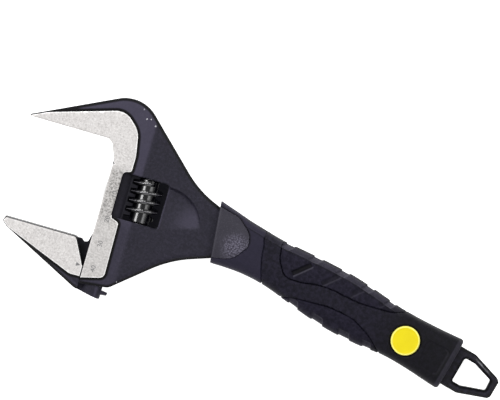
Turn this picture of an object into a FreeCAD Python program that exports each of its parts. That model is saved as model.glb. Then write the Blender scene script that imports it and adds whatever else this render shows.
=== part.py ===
"""Wide-opening adjustable wrench, 200 mm class, in millimetres.

Origin: centre of the fixed jaw's gripping face, at mid thickness.
+X runs along that face from the jaw tip towards the handle, +Y points from the sliding jaw to the
fixed jaw, and +Z leaves the wide face. The wrench is the same on both wide faces.
The handle is turned by handle_angle in the XY plane, and has its own frame: u runs along it, v across.
"""

import FreeCAD, Part
import math
import os

import Sketcher

Vector = FreeCAD.Vector
Rotation = FreeCAD.Rotation

doc = FreeCAD.newDocument("AdjustableWrench")

# --- driving dimensions ------------------------------------------------------------------------

DIMENSIONS = {
    # head
    "jaw_opening": 40.0,  # gap between the gripping faces as modelled
    "jaw_half_length": 16.0,  # half of the fixed gripping face
    "jaw_back": 16.6,  # height of the fixed jaw behind its gripping face
    "front_face": 20.0,  # the guide face that the sliding jaw runs along
    "strip_width": 8.4,  # ground strip beside the guide face
    "head_foot": 17.3,  # how far the head reaches below the sliding jaw's face
    "ground_thick": 11.6,  # across the two ground faces
    "band_step": 0.6,  # from a ground face down to the black band beside it
    "web_step": 1.3,  # from a ground face down to the web behind the worm
    "web_start": 12.3,  # from the guide face to the thinner web
    "slide_clear": 0.2,  # guide face to sliding jaw
    # rod and rack of the sliding jaw
    "rod_cover": 1.5,  # from a ground face down to the rod
    "rod_clear": 0.1,
    "rod_wall": 1.0,  # guide face to rod
    "neck_thick": 4.6,  # web between sliding jaw and rod
    "neck_clear": 0.15,
    "rack_flat": 0.3,  # how deep the rack's root is cut into the rod
    "rack_width": 5.2,
    "rack_clear": 0.25,
    "tooth_height": 2.4,
    "thread_pitch": 3.6,
    # worm, its window and its pin
    "worm_radius": 6.3,
    "mesh_clear": 0.2,
    "window_drop": 11.0,  # fixed gripping face to window
    "window_height": 18.0,
    "window_margin": 1.5,
    "worm_end_clear": 0.3,
    "pin_radius": 1.9,
    "pin_clear": 0.06,
    "pin_depth": 7.0,  # in the blind hole above the window
    "spring_wire": 0.5,
    "spring_pocket": 4.0,
    # handle
    "handle_x": 66.0,
    "handle_y": -23.7,
    "handle_angle": 14.0,
    "shank_thick": 8.0,
    "tang_thick": 6.0,
    "tang_width": 12.4,
    "grip_length": 104.7,
    "grip_thick": 15.6,
    "grip_front_width": 22.6,
    "grip_waist_width": 19.0,
    "grip_swell_width": 23.4,
    "grip_wrist_width": 19.5,
    "grip_end_width": 21.3,
    "grip_skin": 1.8,  # soft panels over the hard core
    "badge_radius": 5.7,
    "badge_thick": 1.6,
    "loop_length": 19.7,
    "loop_width": 16.5,
    "loop_bar": 3.1,
}

sheet = doc.addObject("Spreadsheet::Sheet", "Size")
for row, (alias, value) in enumerate(DIMENSIONS.items(), start=1):
    sheet.set(f"A{row}", alias)
    sheet.set(f"B{row}", str(value))
    sheet.setAlias(f"B{row}", alias)
doc.recompute()


class Length:
    """An expression on the sheet's cells, which can be added, scaled and read as a number."""

    def __init__(self, text):
        self.text = str(text)

    def __add__(self, other):
        return Length(f"({self.text} + {Length.of(other).text})")

    def __sub__(self, other):
        return Length(f"({self.text} - {Length.of(other).text})")

    def __rsub__(self, other):
        return Length.of(other) - self

    def __mul__(self, factor):
        return Length(f"({self.text} * {Length.of(factor).text})")

    def __truediv__(self, divisor):
        return Length(f"({self.text} / {Length.of(divisor).text})")

    def __neg__(self):
        return Length(f"(0 - {self.text})")

    __radd__ = __add__
    __rmul__ = __mul__

    @staticmethod
    def of(value):
        return value if isinstance(value, Length) else Length(f"({value})")

    @property
    def value(self):
        return float(sheet.evalExpression(self.text))


def size(alias):
    return Length(f"Size.{alias}")


def bind(feature, **properties):
    """Sets each property from a length; a double underscore stands for a dot."""
    for name, length in properties.items():
        feature.setExpression(name.replace("__", "."), Length.of(length).text)


# --- places worked out from the sizes ----------------------------------------------------------

OPENING = size("jaw_opening")
FRONT = size("front_face")
JAW = size("jaw_half_length")
PITCH = size("thread_pitch")
TOOTH_TIP = PITCH * 0.28
TOOTH_ROOT = PITCH * 0.445
THREAD_CREST = PITCH * 0.36
THREAD_ROOT = PITCH * 0.53
BAND_THICK = size("ground_thick") - 2 * size("band_step")
WEB_THICK = size("ground_thick") - 2 * size("web_step")
ROD_RADIUS = size("ground_thick") / 2 - size("rod_cover")
ROD_X = FRONT + size("rod_wall") + ROD_RADIUS
RACK_ROOT_X = ROD_X + ROD_RADIUS - size("rack_flat")
RACK_TIP_X = RACK_ROOT_X + size("tooth_height")
WORM_X = RACK_ROOT_X + size("mesh_clear") + size("worm_radius")
WORM_CORE = size("worm_radius") - size("tooth_height")
WINDOW_TOP = -size("window_drop")
WINDOW_BOTTOM = WINDOW_TOP - size("window_height")
WINDOW_RIGHT = WORM_X + size("worm_radius") + size("window_margin")
WORM_LENGTH = size("window_height") - 2 * size("worm_end_clear")
HEAD_BOTTOM = -(OPENING + size("head_foot"))
JAW_FACE = -OPENING
BORE_RADIUS = ROD_RADIUS + size("rod_clear")
NECK_SLOT = size("neck_thick") + 2 * size("neck_clear")
RACK_SLOT = size("rack_width") + 2 * size("rack_clear")
ROD_TOP = WINDOW_TOP + 0.3  # the rod's end stays inside the bore, just above the window
ROD_BOTTOM = JAW_FACE - 21.5
TOP_TOOTH = ROD_TOP - 1.3
GRIP = size("grip_length")
TANG = size("tang_width") / 2
LOOP = size("loop_width") / 2
BAR = size("loop_bar")
CENTRE_V = 0.7  # the grip's middle line lies a little above the handle's axis

# --- sketches and features ---------------------------------------------------------------------


def body(label):
    made = doc.addObject("PartDesign::Body", label)
    made.Label = label
    return made


def outline(sketch, corners):
    """Draws a closed outline. A corner is (x, y), or (x, y, radius) where an arc leads to the next
    corner: a positive radius turns to the left and a negative one to the right."""
    lengths = [(Length.of(c[0]), Length.of(c[1])) for c in corners]
    points = [Vector(x.value, y.value, 0) for x, y in lengths]
    first = sketch.GeometryCount
    constraints, bound, ends = [], [], []
    for i, corner in enumerate(corners):
        here, there = points[i], points[(i + 1) % len(points)]
        index = first + i
        if len(corner) == 2:
            sketch.addGeometry(Part.LineSegment(here, there))
            ends.append((1, 2))
            continue
        signed = Length.of(corner[2]).value
        start, stop = (here, there) if signed > 0 else (there, here)
        chord = stop - start
        reach = math.sqrt(max(signed**2 - (chord.Length / 2) ** 2, 0))
        normal = Vector(-chord.y, chord.x, 0).normalize()
        centre = (start + stop) * 0.5 + normal * reach
        circle = Part.Circle(centre, Vector(0, 0, 1), abs(signed))
        low = math.atan2(start.y - centre.y, start.x - centre.x)
        high = math.atan2(stop.y - centre.y, stop.x - centre.x)
        sketch.addGeometry(Part.ArcOfCircle(circle, low, high if high > low else high + 2 * math.pi))
        ends.append((1, 2) if signed > 0 else (2, 1))
        constraints.append(Sketcher.Constraint("Radius", index, abs(signed)))
        bound.append(Length.of(corner[2]) if signed > 0 else -Length.of(corner[2]))
    for i, (x, y) in enumerate(lengths):
        index, before = first + i, first + (i - 1) % len(corners)
        start = ends[i][0]
        constraints.append(
            Sketcher.Constraint("Coincident", before, ends[(i - 1) % len(corners)][1], index, start)
        )
        bound.append(None)
        constraints.append(Sketcher.Constraint("DistanceX", index, start, points[i].x))
        bound.append(x)
        constraints.append(Sketcher.Constraint("DistanceY", index, start, points[i].y))
        bound.append(y)
    numbers = sketch.addConstraint(constraints)
    for number, length in zip(numbers, bound):
        if length is not None:
            sketch.setExpression(f"Constraints[{number}]", length.text)


def plane_sketch(owner, name, corner_lists, handle_frame=False, height=None):
    """A sketch on the body's XY plane, at a height if one is given, in the head or handle frame."""
    sketch = owner.newObject("Sketcher::SketchObject", name)
    plane = next(f for f in owner.Origin.OriginFeatures if f.Role == "XY_Plane")
    sketch.AttachmentSupport = (plane, [""])
    sketch.MapMode = "FlatFace"
    if handle_frame:
        sketch.AttachmentOffset = FreeCAD.Placement(Vector(), Rotation(Vector(0, 0, 1), -1))
        bind(
            sketch,
            AttachmentOffset__Base__x=size("handle_x"),
            AttachmentOffset__Base__y=size("handle_y"),
            AttachmentOffset__Rotation__Angle=-size("handle_angle"),
        )
    if height is not None:
        bind(sketch, AttachmentOffset__Base__z=height)
    for corners in corner_lists:
        outline(sketch, corners)
    return sketch


def plate(owner, name, corner_lists, thick, kind="Pad", **frame):
    """A plate, or with kind Pocket a cut, that is centred on the mid plane."""
    feature = owner.newObject(f"PartDesign::{kind}", name)
    feature.Profile = plane_sketch(owner, f"{name}_outline", corner_lists, **frame)
    feature.SideType = "Symmetric"
    bind(feature, Length=thick)
    return feature


def cylinder(owner, name, radius, low, high, x=0, kind="Subtractive"):
    """A cylinder along Y from low to high."""
    feature = owner.newObject(f"PartDesign::{kind}Cylinder", name)
    feature.Placement = FreeCAD.Placement(Vector(), Rotation(Vector(1, 0, 0), -90))
    low, high = Length.of(low), Length.of(high)
    bind(feature, Radius=radius, Height=high - low, Placement__Base__x=x, Placement__Base__y=low)
    return feature


def block(owner, name, x, y, thick, kind="Subtractive"):
    """A block from x[0] to x[1] and y[0] to y[1], centred on the mid plane."""
    feature = owner.newObject(f"PartDesign::{kind}Box", name)
    bind(
        feature,
        Length=Length.of(x[1]) - x[0],
        Width=Length.of(y[1]) - y[0],
        Height=thick,
        Placement__Base__x=x[0],
        Placement__Base__y=y[0],
        Placement__Base__z=-Length.of(thick) / 2,
    )
    return feature


# --- outlines ----------------------------------------------------------------------------------

ANGLE = f"{size('handle_angle').text} * 1deg"
ALONG = Length(f"cos({ANGLE})")
ACROSS = Length(f"sin({ANGLE})")


def on_handle(u, v):
    """A point of the handle's frame, in the head's frame."""
    return (
        size("handle_x") + ALONG * u + ACROSS * v,
        size("handle_y") - ACROSS * u + ALONG * v,
    )


TIP_BLUNT = 0.6
GUSSET = [(JAW, 0), (FRONT - 2.5, -1.2), (FRONT, -7)]
TIP = [(-JAW, 0)]
CREST = size("jaw_back") - 0.9
SHOULDER = [(-JAW, TIP_BLUNT), (FRONT - 5, CREST, -12.6), (FRONT + 10.6, CREST - 2.4)]
FOOT = [(FRONT, HEAD_BOTTOM), (FRONT + 10, HEAD_BOTTOM + 1.1), (FRONT + 13, HEAD_BOTTOM + 2.3)]
EDGE_LOW = (FRONT + 13, HEAD_BOTTOM + 2.3)
EDGE_HIGH = (FRONT + 25, HEAD_BOTTOM + 12.4)
EDGE_SLOPE = (EDGE_HIGH[1] - EDGE_LOW[1]) / (EDGE_HIGH[0] - EDGE_LOW[0])
NECK_TOP = on_handle(-5, 9.4)
NECK_BOTTOM = on_handle(2.5, -10.2)

HEAD = (
    GUSSET[::-1]
    + TIP
    + SHOULDER
    + [(FRONT + 29, -4.2, 33), NECK_TOP, (*NECK_BOTTOM, 55), EDGE_HIGH]
    + FOOT[::-1]
)
BAND_RIGHT = FRONT + size("web_start")
BAND = (
    GUSSET[::-1]
    + TIP
    + SHOULDER
    + [(BAND_RIGHT, CREST - 5), (BAND_RIGHT, HEAD_BOTTOM + 2.1)]
    + FOOT[1::-1]
)
STRIP_RIGHT = FRONT + size("strip_width")
WINDOW_LEFT = ROD_X - 0.5
GROUND_FACE = (
    GUSSET[::-1]
    + TIP
    + [
        (-JAW + 8, 4.1),
        (FRONT - 5, 10.7, -9.5),
        (STRIP_RIGHT, 1),
        (STRIP_RIGHT, WINDOW_TOP + 1),
        (WINDOW_LEFT, WINDOW_TOP - 0.4),
        (WINDOW_LEFT, WINDOW_BOTTOM + 0.4),
        (STRIP_RIGHT, WINDOW_BOTTOM - 1.6),
        (STRIP_RIGHT, HEAD_BOTTOM + 5.6),
        (FRONT, HEAD_BOTTOM + 2.4),
    ]
)
WINDOW = [
    (WINDOW_LEFT, WINDOW_TOP),
    (WINDOW_RIGHT, WINDOW_TOP),
    (WINDOW_RIGHT, WINDOW_BOTTOM),
    (WINDOW_LEFT, WINDOW_BOTTOM),
]
SCOOP = [
    (WINDOW_RIGHT - 1, WINDOW_TOP - 1),
    (WINDOW_RIGHT + 6, WINDOW_TOP - 2.2, -18),
    (WINDOW_RIGHT + 15.8, WINDOW_TOP - 12.5),
    (WINDOW_RIGHT - 1, WINDOW_BOTTOM + 0.5),
]

# handle frame
SHANK = [(-9, 8.6), (-3.4, 9.1), (6, 7.4), (6, -6.4), (3, -9.6), (-2, -8.8)]
TANG_START = 5.0
LOOP_START = GRIP + 1.5
LOOP_END = GRIP + size("loop_length")
LOOP_OUTLINE = [
    (TANG_START, TANG + CENTRE_V),
    (GRIP - 8, TANG + CENTRE_V),
    (GRIP - 4, LOOP + CENTRE_V),
    (GRIP + 6.8, LOOP + CENTRE_V),
    (LOOP_END - 1.3, LOOP * 0.6 + CENTRE_V),
    (LOOP_END, LOOP * 0.46 + CENTRE_V),
    (LOOP_END, -LOOP * 0.36 + CENTRE_V),
    (LOOP_END - 0.8, -LOOP * 0.5 + CENTRE_V),
    (GRIP + 7.3, -LOOP + CENTRE_V),
    (GRIP - 4, -LOOP + CENTRE_V),
    (GRIP - 8, -TANG + CENTRE_V),
    (TANG_START, -TANG + CENTRE_V),
]
LOOP_HOLE = [
    (GRIP + 3.6, LOOP - BAR + CENTRE_V),
    (GRIP + 3.6, BAR - LOOP + CENTRE_V),
    (GRIP + 7.3, BAR - LOOP + CENTRE_V),
    (LOOP_END - BAR, BAR - LOOP * 0.6 + CENTRE_V),
    (LOOP_END - BAR, LOOP * 0.66 - BAR + CENTRE_V),
    (GRIP + 8, LOOP - BAR + CENTRE_V),
]


def share(fraction):
    """A place along the grip."""
    return GRIP * fraction


UPPER_PANEL = [
    (share(0.234), 18),
    (share(0.234), 8),
    (share(0.267), 2),
    (share(0.302), -1.2),
    (share(0.35), -0.7),
    (share(0.43), 2.2),
    (share(0.59), 4),
    (share(0.726), 7.7),
    (share(0.755), 10.4),
    (share(0.755), 18),
]
LOWER_PANEL = [
    (share(0.315), -18),
    (share(0.315), -10.5),
    (share(0.363), -7.5),
    (share(0.43), -5.2),
    (share(0.516), -3.2),
    (share(0.59), -2.8),
    (share(0.668), -4.8),
    (share(0.745), -9.3),
    (share(0.745), -18),
]
THUMB_PAD = [
    (-9, 9),
    (5, 9),
    (10, 6.6, -7.5),
    (9.5, -6.5),
    (3, -9.3),
    (-9, -9.3),
]
SEAM_TOP = share(0.165)
SEAM_BOTTOM = share(0.239)
COLLAR_ZONE = [
    (-30, 20),
    (SEAM_TOP - 1, 20),
    (SEAM_TOP, 7.2),
    (SEAM_BOTTOM, -8.5),
    (SEAM_BOTTOM + 1, -20),
    (-30, -20),
]

THROUGH = size("grip_thick") * 2

# --- forged body -------------------------------------------------------------------------------

forged_body = body("forged_body")
plate(forged_body, "HeadWeb", [HEAD], WEB_THICK)
plate(forged_body, "HeadBand", [BAND], BAND_THICK)
plate(forged_body, "GroundFaces", [GROUND_FACE], size("ground_thick"))
plate(forged_body, "Shank", [SHANK], size("shank_thick"), handle_frame=True)
plate(forged_body, "TangAndLoop", [LOOP_OUTLINE, LOOP_HOLE], size("tang_thick"), handle_frame=True)
plate(forged_body, "WormWindow", [WINDOW], THROUGH, kind="Pocket")

scoop_floor = WEB_THICK / 2 - 1.5
for side, name in ((1, "ScoopFront"), (-1, "ScoopBack")):
    scoop = forged_body.newObject("PartDesign::Pocket", name)
    scoop.Profile = plane_sketch(forged_body, f"{name}_outline", [SCOOP], height=scoop_floor * side)
    scoop.Reversed = side > 0
    bind(scoop, Length=WEB_THICK)

PAST = size("jaw_back") + 5
cylinder(forged_body, "RodBore", BORE_RADIUS, HEAD_BOTTOM - 5, PAST, ROD_X)
block(forged_body, "NeckSlot", (FRONT - 1, ROD_X), (HEAD_BOTTOM - 5, 5), NECK_SLOT)
block(forged_body, "GussetSlot", (JAW - 0.2, FRONT), (-8, 0.3), NECK_SLOT)
block(
    forged_body,
    "RackSlot",
    (ROD_X, RACK_TIP_X + size("rack_clear")),
    (HEAD_BOTTOM - 5, PAST),
    RACK_SLOT,
)
PIN_LOW = EDGE_LOW[1] + (WORM_X - EDGE_LOW[0] + size("pin_radius")) * EDGE_SLOPE + 0.2
PIN_HIGH = WINDOW_TOP + size("pin_depth")
PIN_HOLE = size("pin_radius") + size("pin_clear")
cylinder(forged_body, "PinHole", PIN_HOLE, HEAD_BOTTOM - 5, PIN_HIGH + 0.3, WORM_X)

# --- sliding jaw -------------------------------------------------------------------------------

JAW_SIDE = FRONT - size("slide_clear")
JAW_TIP_X = -JAW + 0.8
JAW_TIP = [(JAW_TIP_X, JAW_FACE - 1.8), (JAW_TIP_X + 0.8, JAW_FACE)]
JAW_HEEL = [(FRONT - 5.8, JAW_FACE), (FRONT - 5.4, JAW_FACE - 0.6), (JAW_SIDE, JAW_FACE - 10.7)]
JAW_BLOCK = [(JAW_TIP_X + 2.2, JAW_FACE - 3.8)] + JAW_TIP + JAW_HEEL
JAW_BLOCK += [(JAW_SIDE, JAW_FACE - 19.8), (FRONT - 2, JAW_FACE - 19.2)]
JAW_GROUND = [(JAW_TIP_X + 1.2, JAW_FACE - 2.9)] + JAW_TIP + JAW_HEEL
JAW_GROUND += [(JAW_SIDE, JAW_FACE - 14.7), (FRONT - 5, JAW_FACE - 14.4)]
JAW_NECK = [
    (FRONT - 8, JAW_FACE - 0.4),
    (FRONT - 3.5, JAW_FACE - 0.4),
    (FRONT - 2.4, JAW_FACE - 1.5),
    (FRONT - 0.9, JAW_FACE - 1),
    (FRONT - 0.4, JAW_FACE + 1.5),
    (FRONT, JAW_FACE + 4),
    (ROD_X, JAW_FACE + 4.2),
    (ROD_X, ROD_BOTTOM + 0.3),
    (FRONT, JAW_FACE - 19.9),
    (FRONT - 8, JAW_FACE - 15),
]

sliding_jaw = body("sliding_jaw")
plate(sliding_jaw, "JawBlock", [JAW_BLOCK], BAND_THICK)
plate(sliding_jaw, "JawGround", [JAW_GROUND], size("ground_thick"))
plate(sliding_jaw, "Neck", [JAW_NECK], size("neck_thick"))
cylinder(sliding_jaw, "Rod", ROD_RADIUS, ROD_BOTTOM, ROD_TOP, ROD_X, kind="Additive")
block(
    sliding_jaw,
    "RackFlat",
    (RACK_ROOT_X, ROD_X + ROD_RADIUS + 1),
    (ROD_BOTTOM - 1, ROD_TOP + 1),
    ROD_RADIUS * 2,
)
# The rod's foot is cut off slanting, in line with the jaw's lower edge.
FOOT_CUT = [
    (FRONT, JAW_FACE - 19.9),
    (FRONT, ROD_BOTTOM - 2),
    (RACK_TIP_X + 1, ROD_BOTTOM - 2),
    (RACK_TIP_X + 1, ROD_BOTTOM - 0.5),
]
plate(sliding_jaw, "FootCut", [FOOT_CUT], size("ground_thick"), kind="Pocket")
TOOTH = [
    (RACK_ROOT_X - 0.5, TOP_TOOTH - TOOTH_ROOT / 2),
    (RACK_ROOT_X, TOP_TOOTH - TOOTH_ROOT / 2),
    (RACK_TIP_X, TOP_TOOTH - TOOTH_TIP / 2),
    (RACK_TIP_X, TOP_TOOTH + TOOTH_TIP / 2),
    (RACK_ROOT_X, TOP_TOOTH + TOOTH_ROOT / 2),
    (RACK_ROOT_X - 0.5, TOP_TOOTH + TOOTH_ROOT / 2),
]
tooth = plate(sliding_jaw, "RackTooth", [TOOTH], size("rack_width"))
tooth.UseCustomVector = True
tooth.AlongSketchNormal = True
# The teeth lean with the thread: its lead angle at half its depth.
LEAD_RADIUS = size("worm_radius") - size("tooth_height") / 2
lean = PITCH / (LEAD_RADIUS * 2 * math.pi)
bind(tooth, Direction__x=0, Direction__y=lean, Direction__z=1)
rack = sliding_jaw.newObject("PartDesign::LinearPattern", "Rack")
rack.Originals = [tooth]
rack.Direction = (tooth.Profile[0], ["V_Axis"])
rack.Reversed = True
rack.Mode = "Spacing"
TEETH = Length(f"floor(({(TOP_TOOTH - ROD_BOTTOM - 2.4).text}) / {PITCH.text}) + 1")
bind(rack, Offset=PITCH, Occurrences=TEETH)
sliding_jaw.Tip = rack

# --- worm, pin and spring ----------------------------------------------------------------------

WORM_BOTTOM = WINDOW_BOTTOM + size("worm_end_clear")
worm = body("worm")
bind(worm, Placement__Base__x=WORM_X, Placement__Base__y=WORM_BOTTOM)
cylinder(worm, "Core", WORM_CORE, 0, WORM_LENGTH, kind="Additive")
# The thread starts on the far side of the rack, half a turn below a gap that holds a tooth.
TOP_GAP = TOP_TOOTH - WORM_BOTTOM
FIRST_START = THREAD_ROOT / 2 + 0.1
GAPS = Length(f"floor({(TOP_GAP - FIRST_START).text} / {PITCH.text})")
START = TOP_GAP - PITCH * GAPS
THREAD = [
    (WORM_CORE - 0.3, START - THREAD_ROOT / 2),
    (WORM_CORE, START - THREAD_ROOT / 2),
    (size("worm_radius"), START - THREAD_CREST / 2),
    (size("worm_radius"), START + THREAD_CREST / 2),
    (WORM_CORE, START + THREAD_ROOT / 2),
    (WORM_CORE - 0.3, START + THREAD_ROOT / 2),
]
thread_sketch = plane_sketch(worm, "Thread_outline", [THREAD])
thread = worm.newObject("PartDesign::AdditiveHelix", "Thread")
thread.Profile = thread_sketch
thread.ReferenceAxis = (thread_sketch, ["V_Axis"])
thread.Mode = 0
thread.LeftHanded = False
thread.Outside = False
bind(thread, Pitch=PITCH, Height=WORM_LENGTH - START - THREAD_ROOT / 2 - 0.1)
cylinder(worm, "PinBore", PIN_HOLE, -1, WORM_LENGTH + 1)
SPRING_RADIUS = size("pin_radius") + size("spring_wire")
POCKET_RADIUS = SPRING_RADIUS + size("spring_wire")
cylinder(worm, "SpringPocket", POCKET_RADIUS, WORM_LENGTH - size("spring_pocket"), WORM_LENGTH + 1)

worm_pin = body("worm_pin")
cylinder(worm_pin, "Shaft", size("pin_radius"), PIN_LOW, PIN_HIGH, WORM_X, kind="Additive")
block(
    worm_pin,
    "DriverSlot",
    (WORM_X - size("pin_radius") - 1, WORM_X + size("pin_radius") + 1),
    (PIN_LOW - 1, PIN_LOW + 0.9),
    0.7,
)

SPRING_LOW = WORM_BOTTOM + WORM_LENGTH - size("spring_pocket") + size("spring_wire") / 2 + 0.1
SPRING_HIGH = WINDOW_TOP - size("spring_wire") / 2 - 0.05
HALF_WIRE = size("spring_wire") / 2
WIRE_SIDES = 10  # the wire is drawn with flat sides
wire_angles = [2 * math.pi * i / WIRE_SIDES for i in range(WIRE_SIDES)]
WIRE = [(SPRING_RADIUS + HALF_WIRE * math.cos(a), HALF_WIRE * math.sin(a)) for a in wire_angles]
worm_spring = body("worm_spring")
bind(worm_spring, Placement__Base__x=WORM_X, Placement__Base__y=SPRING_LOW)
coil_sketch = plane_sketch(worm_spring, "Coil_outline", [WIRE])
coil = worm_spring.newObject("PartDesign::AdditiveHelix", "Coil")
coil.Profile = coil_sketch
coil.ReferenceAxis = (coil_sketch, ["V_Axis"])
coil.Mode = 0
bind(coil, Pitch=(SPRING_HIGH - SPRING_LOW) / 4, Height=SPRING_HIGH - SPRING_LOW)

# --- grip --------------------------------------------------------------------------------------


def section(name, place, width, thick, inset, lean=0.0):
    """A rounded section across the handle."""
    sketch = doc.addObject("Sketcher::SketchObject", name)
    across = Rotation(Vector(0, 0, 1), lean) * Rotation(Vector(1, 1, 1), 120)
    sketch.Placement = FreeCAD.Placement(Vector(0, CENTRE_V, 0), across)
    bind(sketch, Placement__Base__x=place)
    half = Length.of(width) / 2 - inset
    deep = Length.of(thick) / 2 - inset
    corner = deep * 0.62
    outline(
        sketch,
        [
            (half - corner, -deep, corner),
            (half, corner - deep),
            (half, deep - corner, corner),
            (half - corner, deep),
            (corner - half, deep, corner),
            (-half, deep - corner),
            (-half, corner - deep, corner),
            (corner - half, -deep),
        ],
    )
    return sketch


def grip_form(name, inset, overrun):
    """The grip's whole form, or with an inset the form that lies under its skin."""
    thick = size("grip_thick")
    stations = [
        (share(0.002) - overrun, size("grip_front_width"), thick - 2.6, 19.4),
        (share(0.19), size("grip_waist_width"), thick - 1.2, 0.0),
        (share(0.54), size("grip_swell_width"), thick, 0.0),
        (share(0.79), size("grip_wrist_width"), thick - 1, 0.0),
        (GRIP + overrun, size("grip_end_width"), thick - 1.6, 0.0),
    ]
    loft = doc.addObject("Part::Loft", name)
    loft.Sections = [
        section(f"{name}_section{i}", place, width, depth, inset, lean)
        for i, (place, width, depth, lean) in enumerate(stations)
    ]
    loft.Solid = True
    loft.Ruled = False
    return loft


def prism(name, corners, low, high):
    """An outline of the handle frame, extruded from low to high."""
    sketch = doc.addObject("Sketcher::SketchObject", f"{name}_outline")
    bind(sketch, Placement__Base__z=low)
    outline(sketch, corners)
    made = doc.addObject("Part::Extrusion", name)
    made.Base = sketch
    made.DirMode = "Normal"
    made.Solid = True
    bind(made, LengthFwd=Length.of(high) - low)
    return made


def both(kind, name, base, tool):
    made = doc.addObject(f"Part::{kind}", name)
    made.Base = base
    made.Tool = tool
    return made


def fused(name, shapes):
    made = doc.addObject("Part::MultiFuse", name)
    made.Shapes = shapes
    return made


def on_grip(label, feature):
    """Labels a finished piece of the grip and turns it to the handle's place."""
    feature.Label = label
    feature.Placement = FreeCAD.Placement(Vector(), Rotation(Vector(0, 0, 1), -1))
    bind(
        feature,
        Placement__Base__x=size("handle_x"),
        Placement__Base__y=size("handle_y"),
        Placement__Rotation__Angle=-size("handle_angle"),
    )
    return feature


def badge(name, side):
    """A round plug, let into one wide face of the grip and standing a little proud."""
    made = doc.addObject("Part::Cylinder", name)
    outer = size("grip_thick") / 2 - 0.4
    bind(
        made,
        Radius=size("badge_radius"),
        Height=size("badge_thick"),
        Placement__Base__x=share(0.808),
        Placement__Base__y=0.3,
        Placement__Base__z=outer - size("badge_thick") if side > 0 else -outer,
    )
    return made


whole_grip = grip_form("GripForm", 0, 0)
under_skin = grip_form("UnderSkin", size("grip_skin"), 4)
under_thumb = grip_form("UnderThumb", 0.9, 4)

HALF_SHANK = size("shank_thick") / 2
HALF_TANG = size("tang_thick") / 2
cavity = fused(
    "TangCavity",
    [
        prism("ShankRoom", SHANK, -HALF_SHANK, HALF_SHANK),
        prism("TangRoom", LOOP_OUTLINE, -HALF_TANG, HALF_TANG),
    ],
)
upper_zone = both("Cut", "UpperZone", prism("UpperPrism", UPPER_PANEL, -THROUGH, THROUGH), under_skin)
lower_zone = both("Cut", "LowerZone", prism("LowerPrism", LOWER_PANEL, -THROUGH, THROUGH), under_skin)
thumb_zones = [
    both("Cut", f"ThumbZone{side}", prism(f"ThumbPrism{side}", THUMB_PAD, low, high), under_thumb)
    for side, low, high in (("Front", 0, THROUGH), ("Back", -THROUGH, 0))
]
badges = [badge("BadgeFront", 1), badge("BadgeBack", -1)]
collar_zone = prism("CollarZone", COLLAR_ZONE, -THROUGH, THROUGH)

hollow = both("Cut", "HollowGrip", whole_grip, cavity)
collar_room = both("Common", "CollarBlank", hollow, collar_zone)
core_room = both("Cut", "CoreBlank", hollow, collar_zone)

grip_pieces = [
    on_grip("grip_collar", both("Cut", "Collar", collar_room, fused("ThumbZones", thumb_zones))),
    on_grip(
        "grip_core",
        both("Cut", "Core", core_room, fused("CoreCuts", [upper_zone, lower_zone] + badges)),
    ),
    on_grip("upper_grip_panel", both("Common", "UpperPanel", whole_grip, upper_zone)),
    on_grip("lower_grip_panel", both("Common", "LowerPanel", whole_grip, lower_zone)),
    on_grip("thumb_pad_front", both("Common", "ThumbPadFront", hollow, thumb_zones[0])),
    on_grip("thumb_pad_back", both("Common", "ThumbPadBack", hollow, thumb_zones[1])),
]
for label, plug in zip(("badge_front", "badge_back"), badges):
    placed = doc.addObject("Part::Compound", label)
    placed.Links = [plug]
    grip_pieces.append(on_grip(label, placed))

# --- checks and files --------------------------------------------------------------------------

doc.recompute()
faults = [o.Label for o in doc.Objects if {"Invalid", "Error"} & set(o.State)]
if faults:
    raise RuntimeError("failed to build: " + ", ".join(faults))

NODES = [forged_body, sliding_jaw, worm, worm_pin, worm_spring] + grip_pieces
for node in NODES:
    if node.Shape.isNull() or not node.Shape.isValid() or not node.Shape.Solids:
        raise RuntimeError(f"{node.Label} has no valid solid")

os.makedirs("parts", exist_ok=True)
for node in NODES:
    node.Shape.exportStep(f"parts/{node.Label}.step")
    box = node.Shape.BoundBox
    sides = ((box.XMin, box.XMax), (box.YMin, box.YMax), (box.ZMin, box.ZMax))
    spans = "  ".join(f"{axis} {low:7.2f} {high:7.2f}" for axis, (low, high) in zip("xyz", sides))
    print(f"{node.Label:18} {node.Shape.Volume:9.1f} mm3  {spans}")
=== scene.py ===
"""Looks of a wide-opening adjustable wrench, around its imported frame.

Shapes are worked out in millimetres in the frame's own axes, and scaled to metres as meshes are made.
The handle has axes of its own: u runs along it, v across it, and z is shared.
"""

import math

import bmesh
import bpy
import numpy as np
from mathutils import Matrix, Vector
from mathutils.geometry import delaunay_2d_cdt


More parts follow.
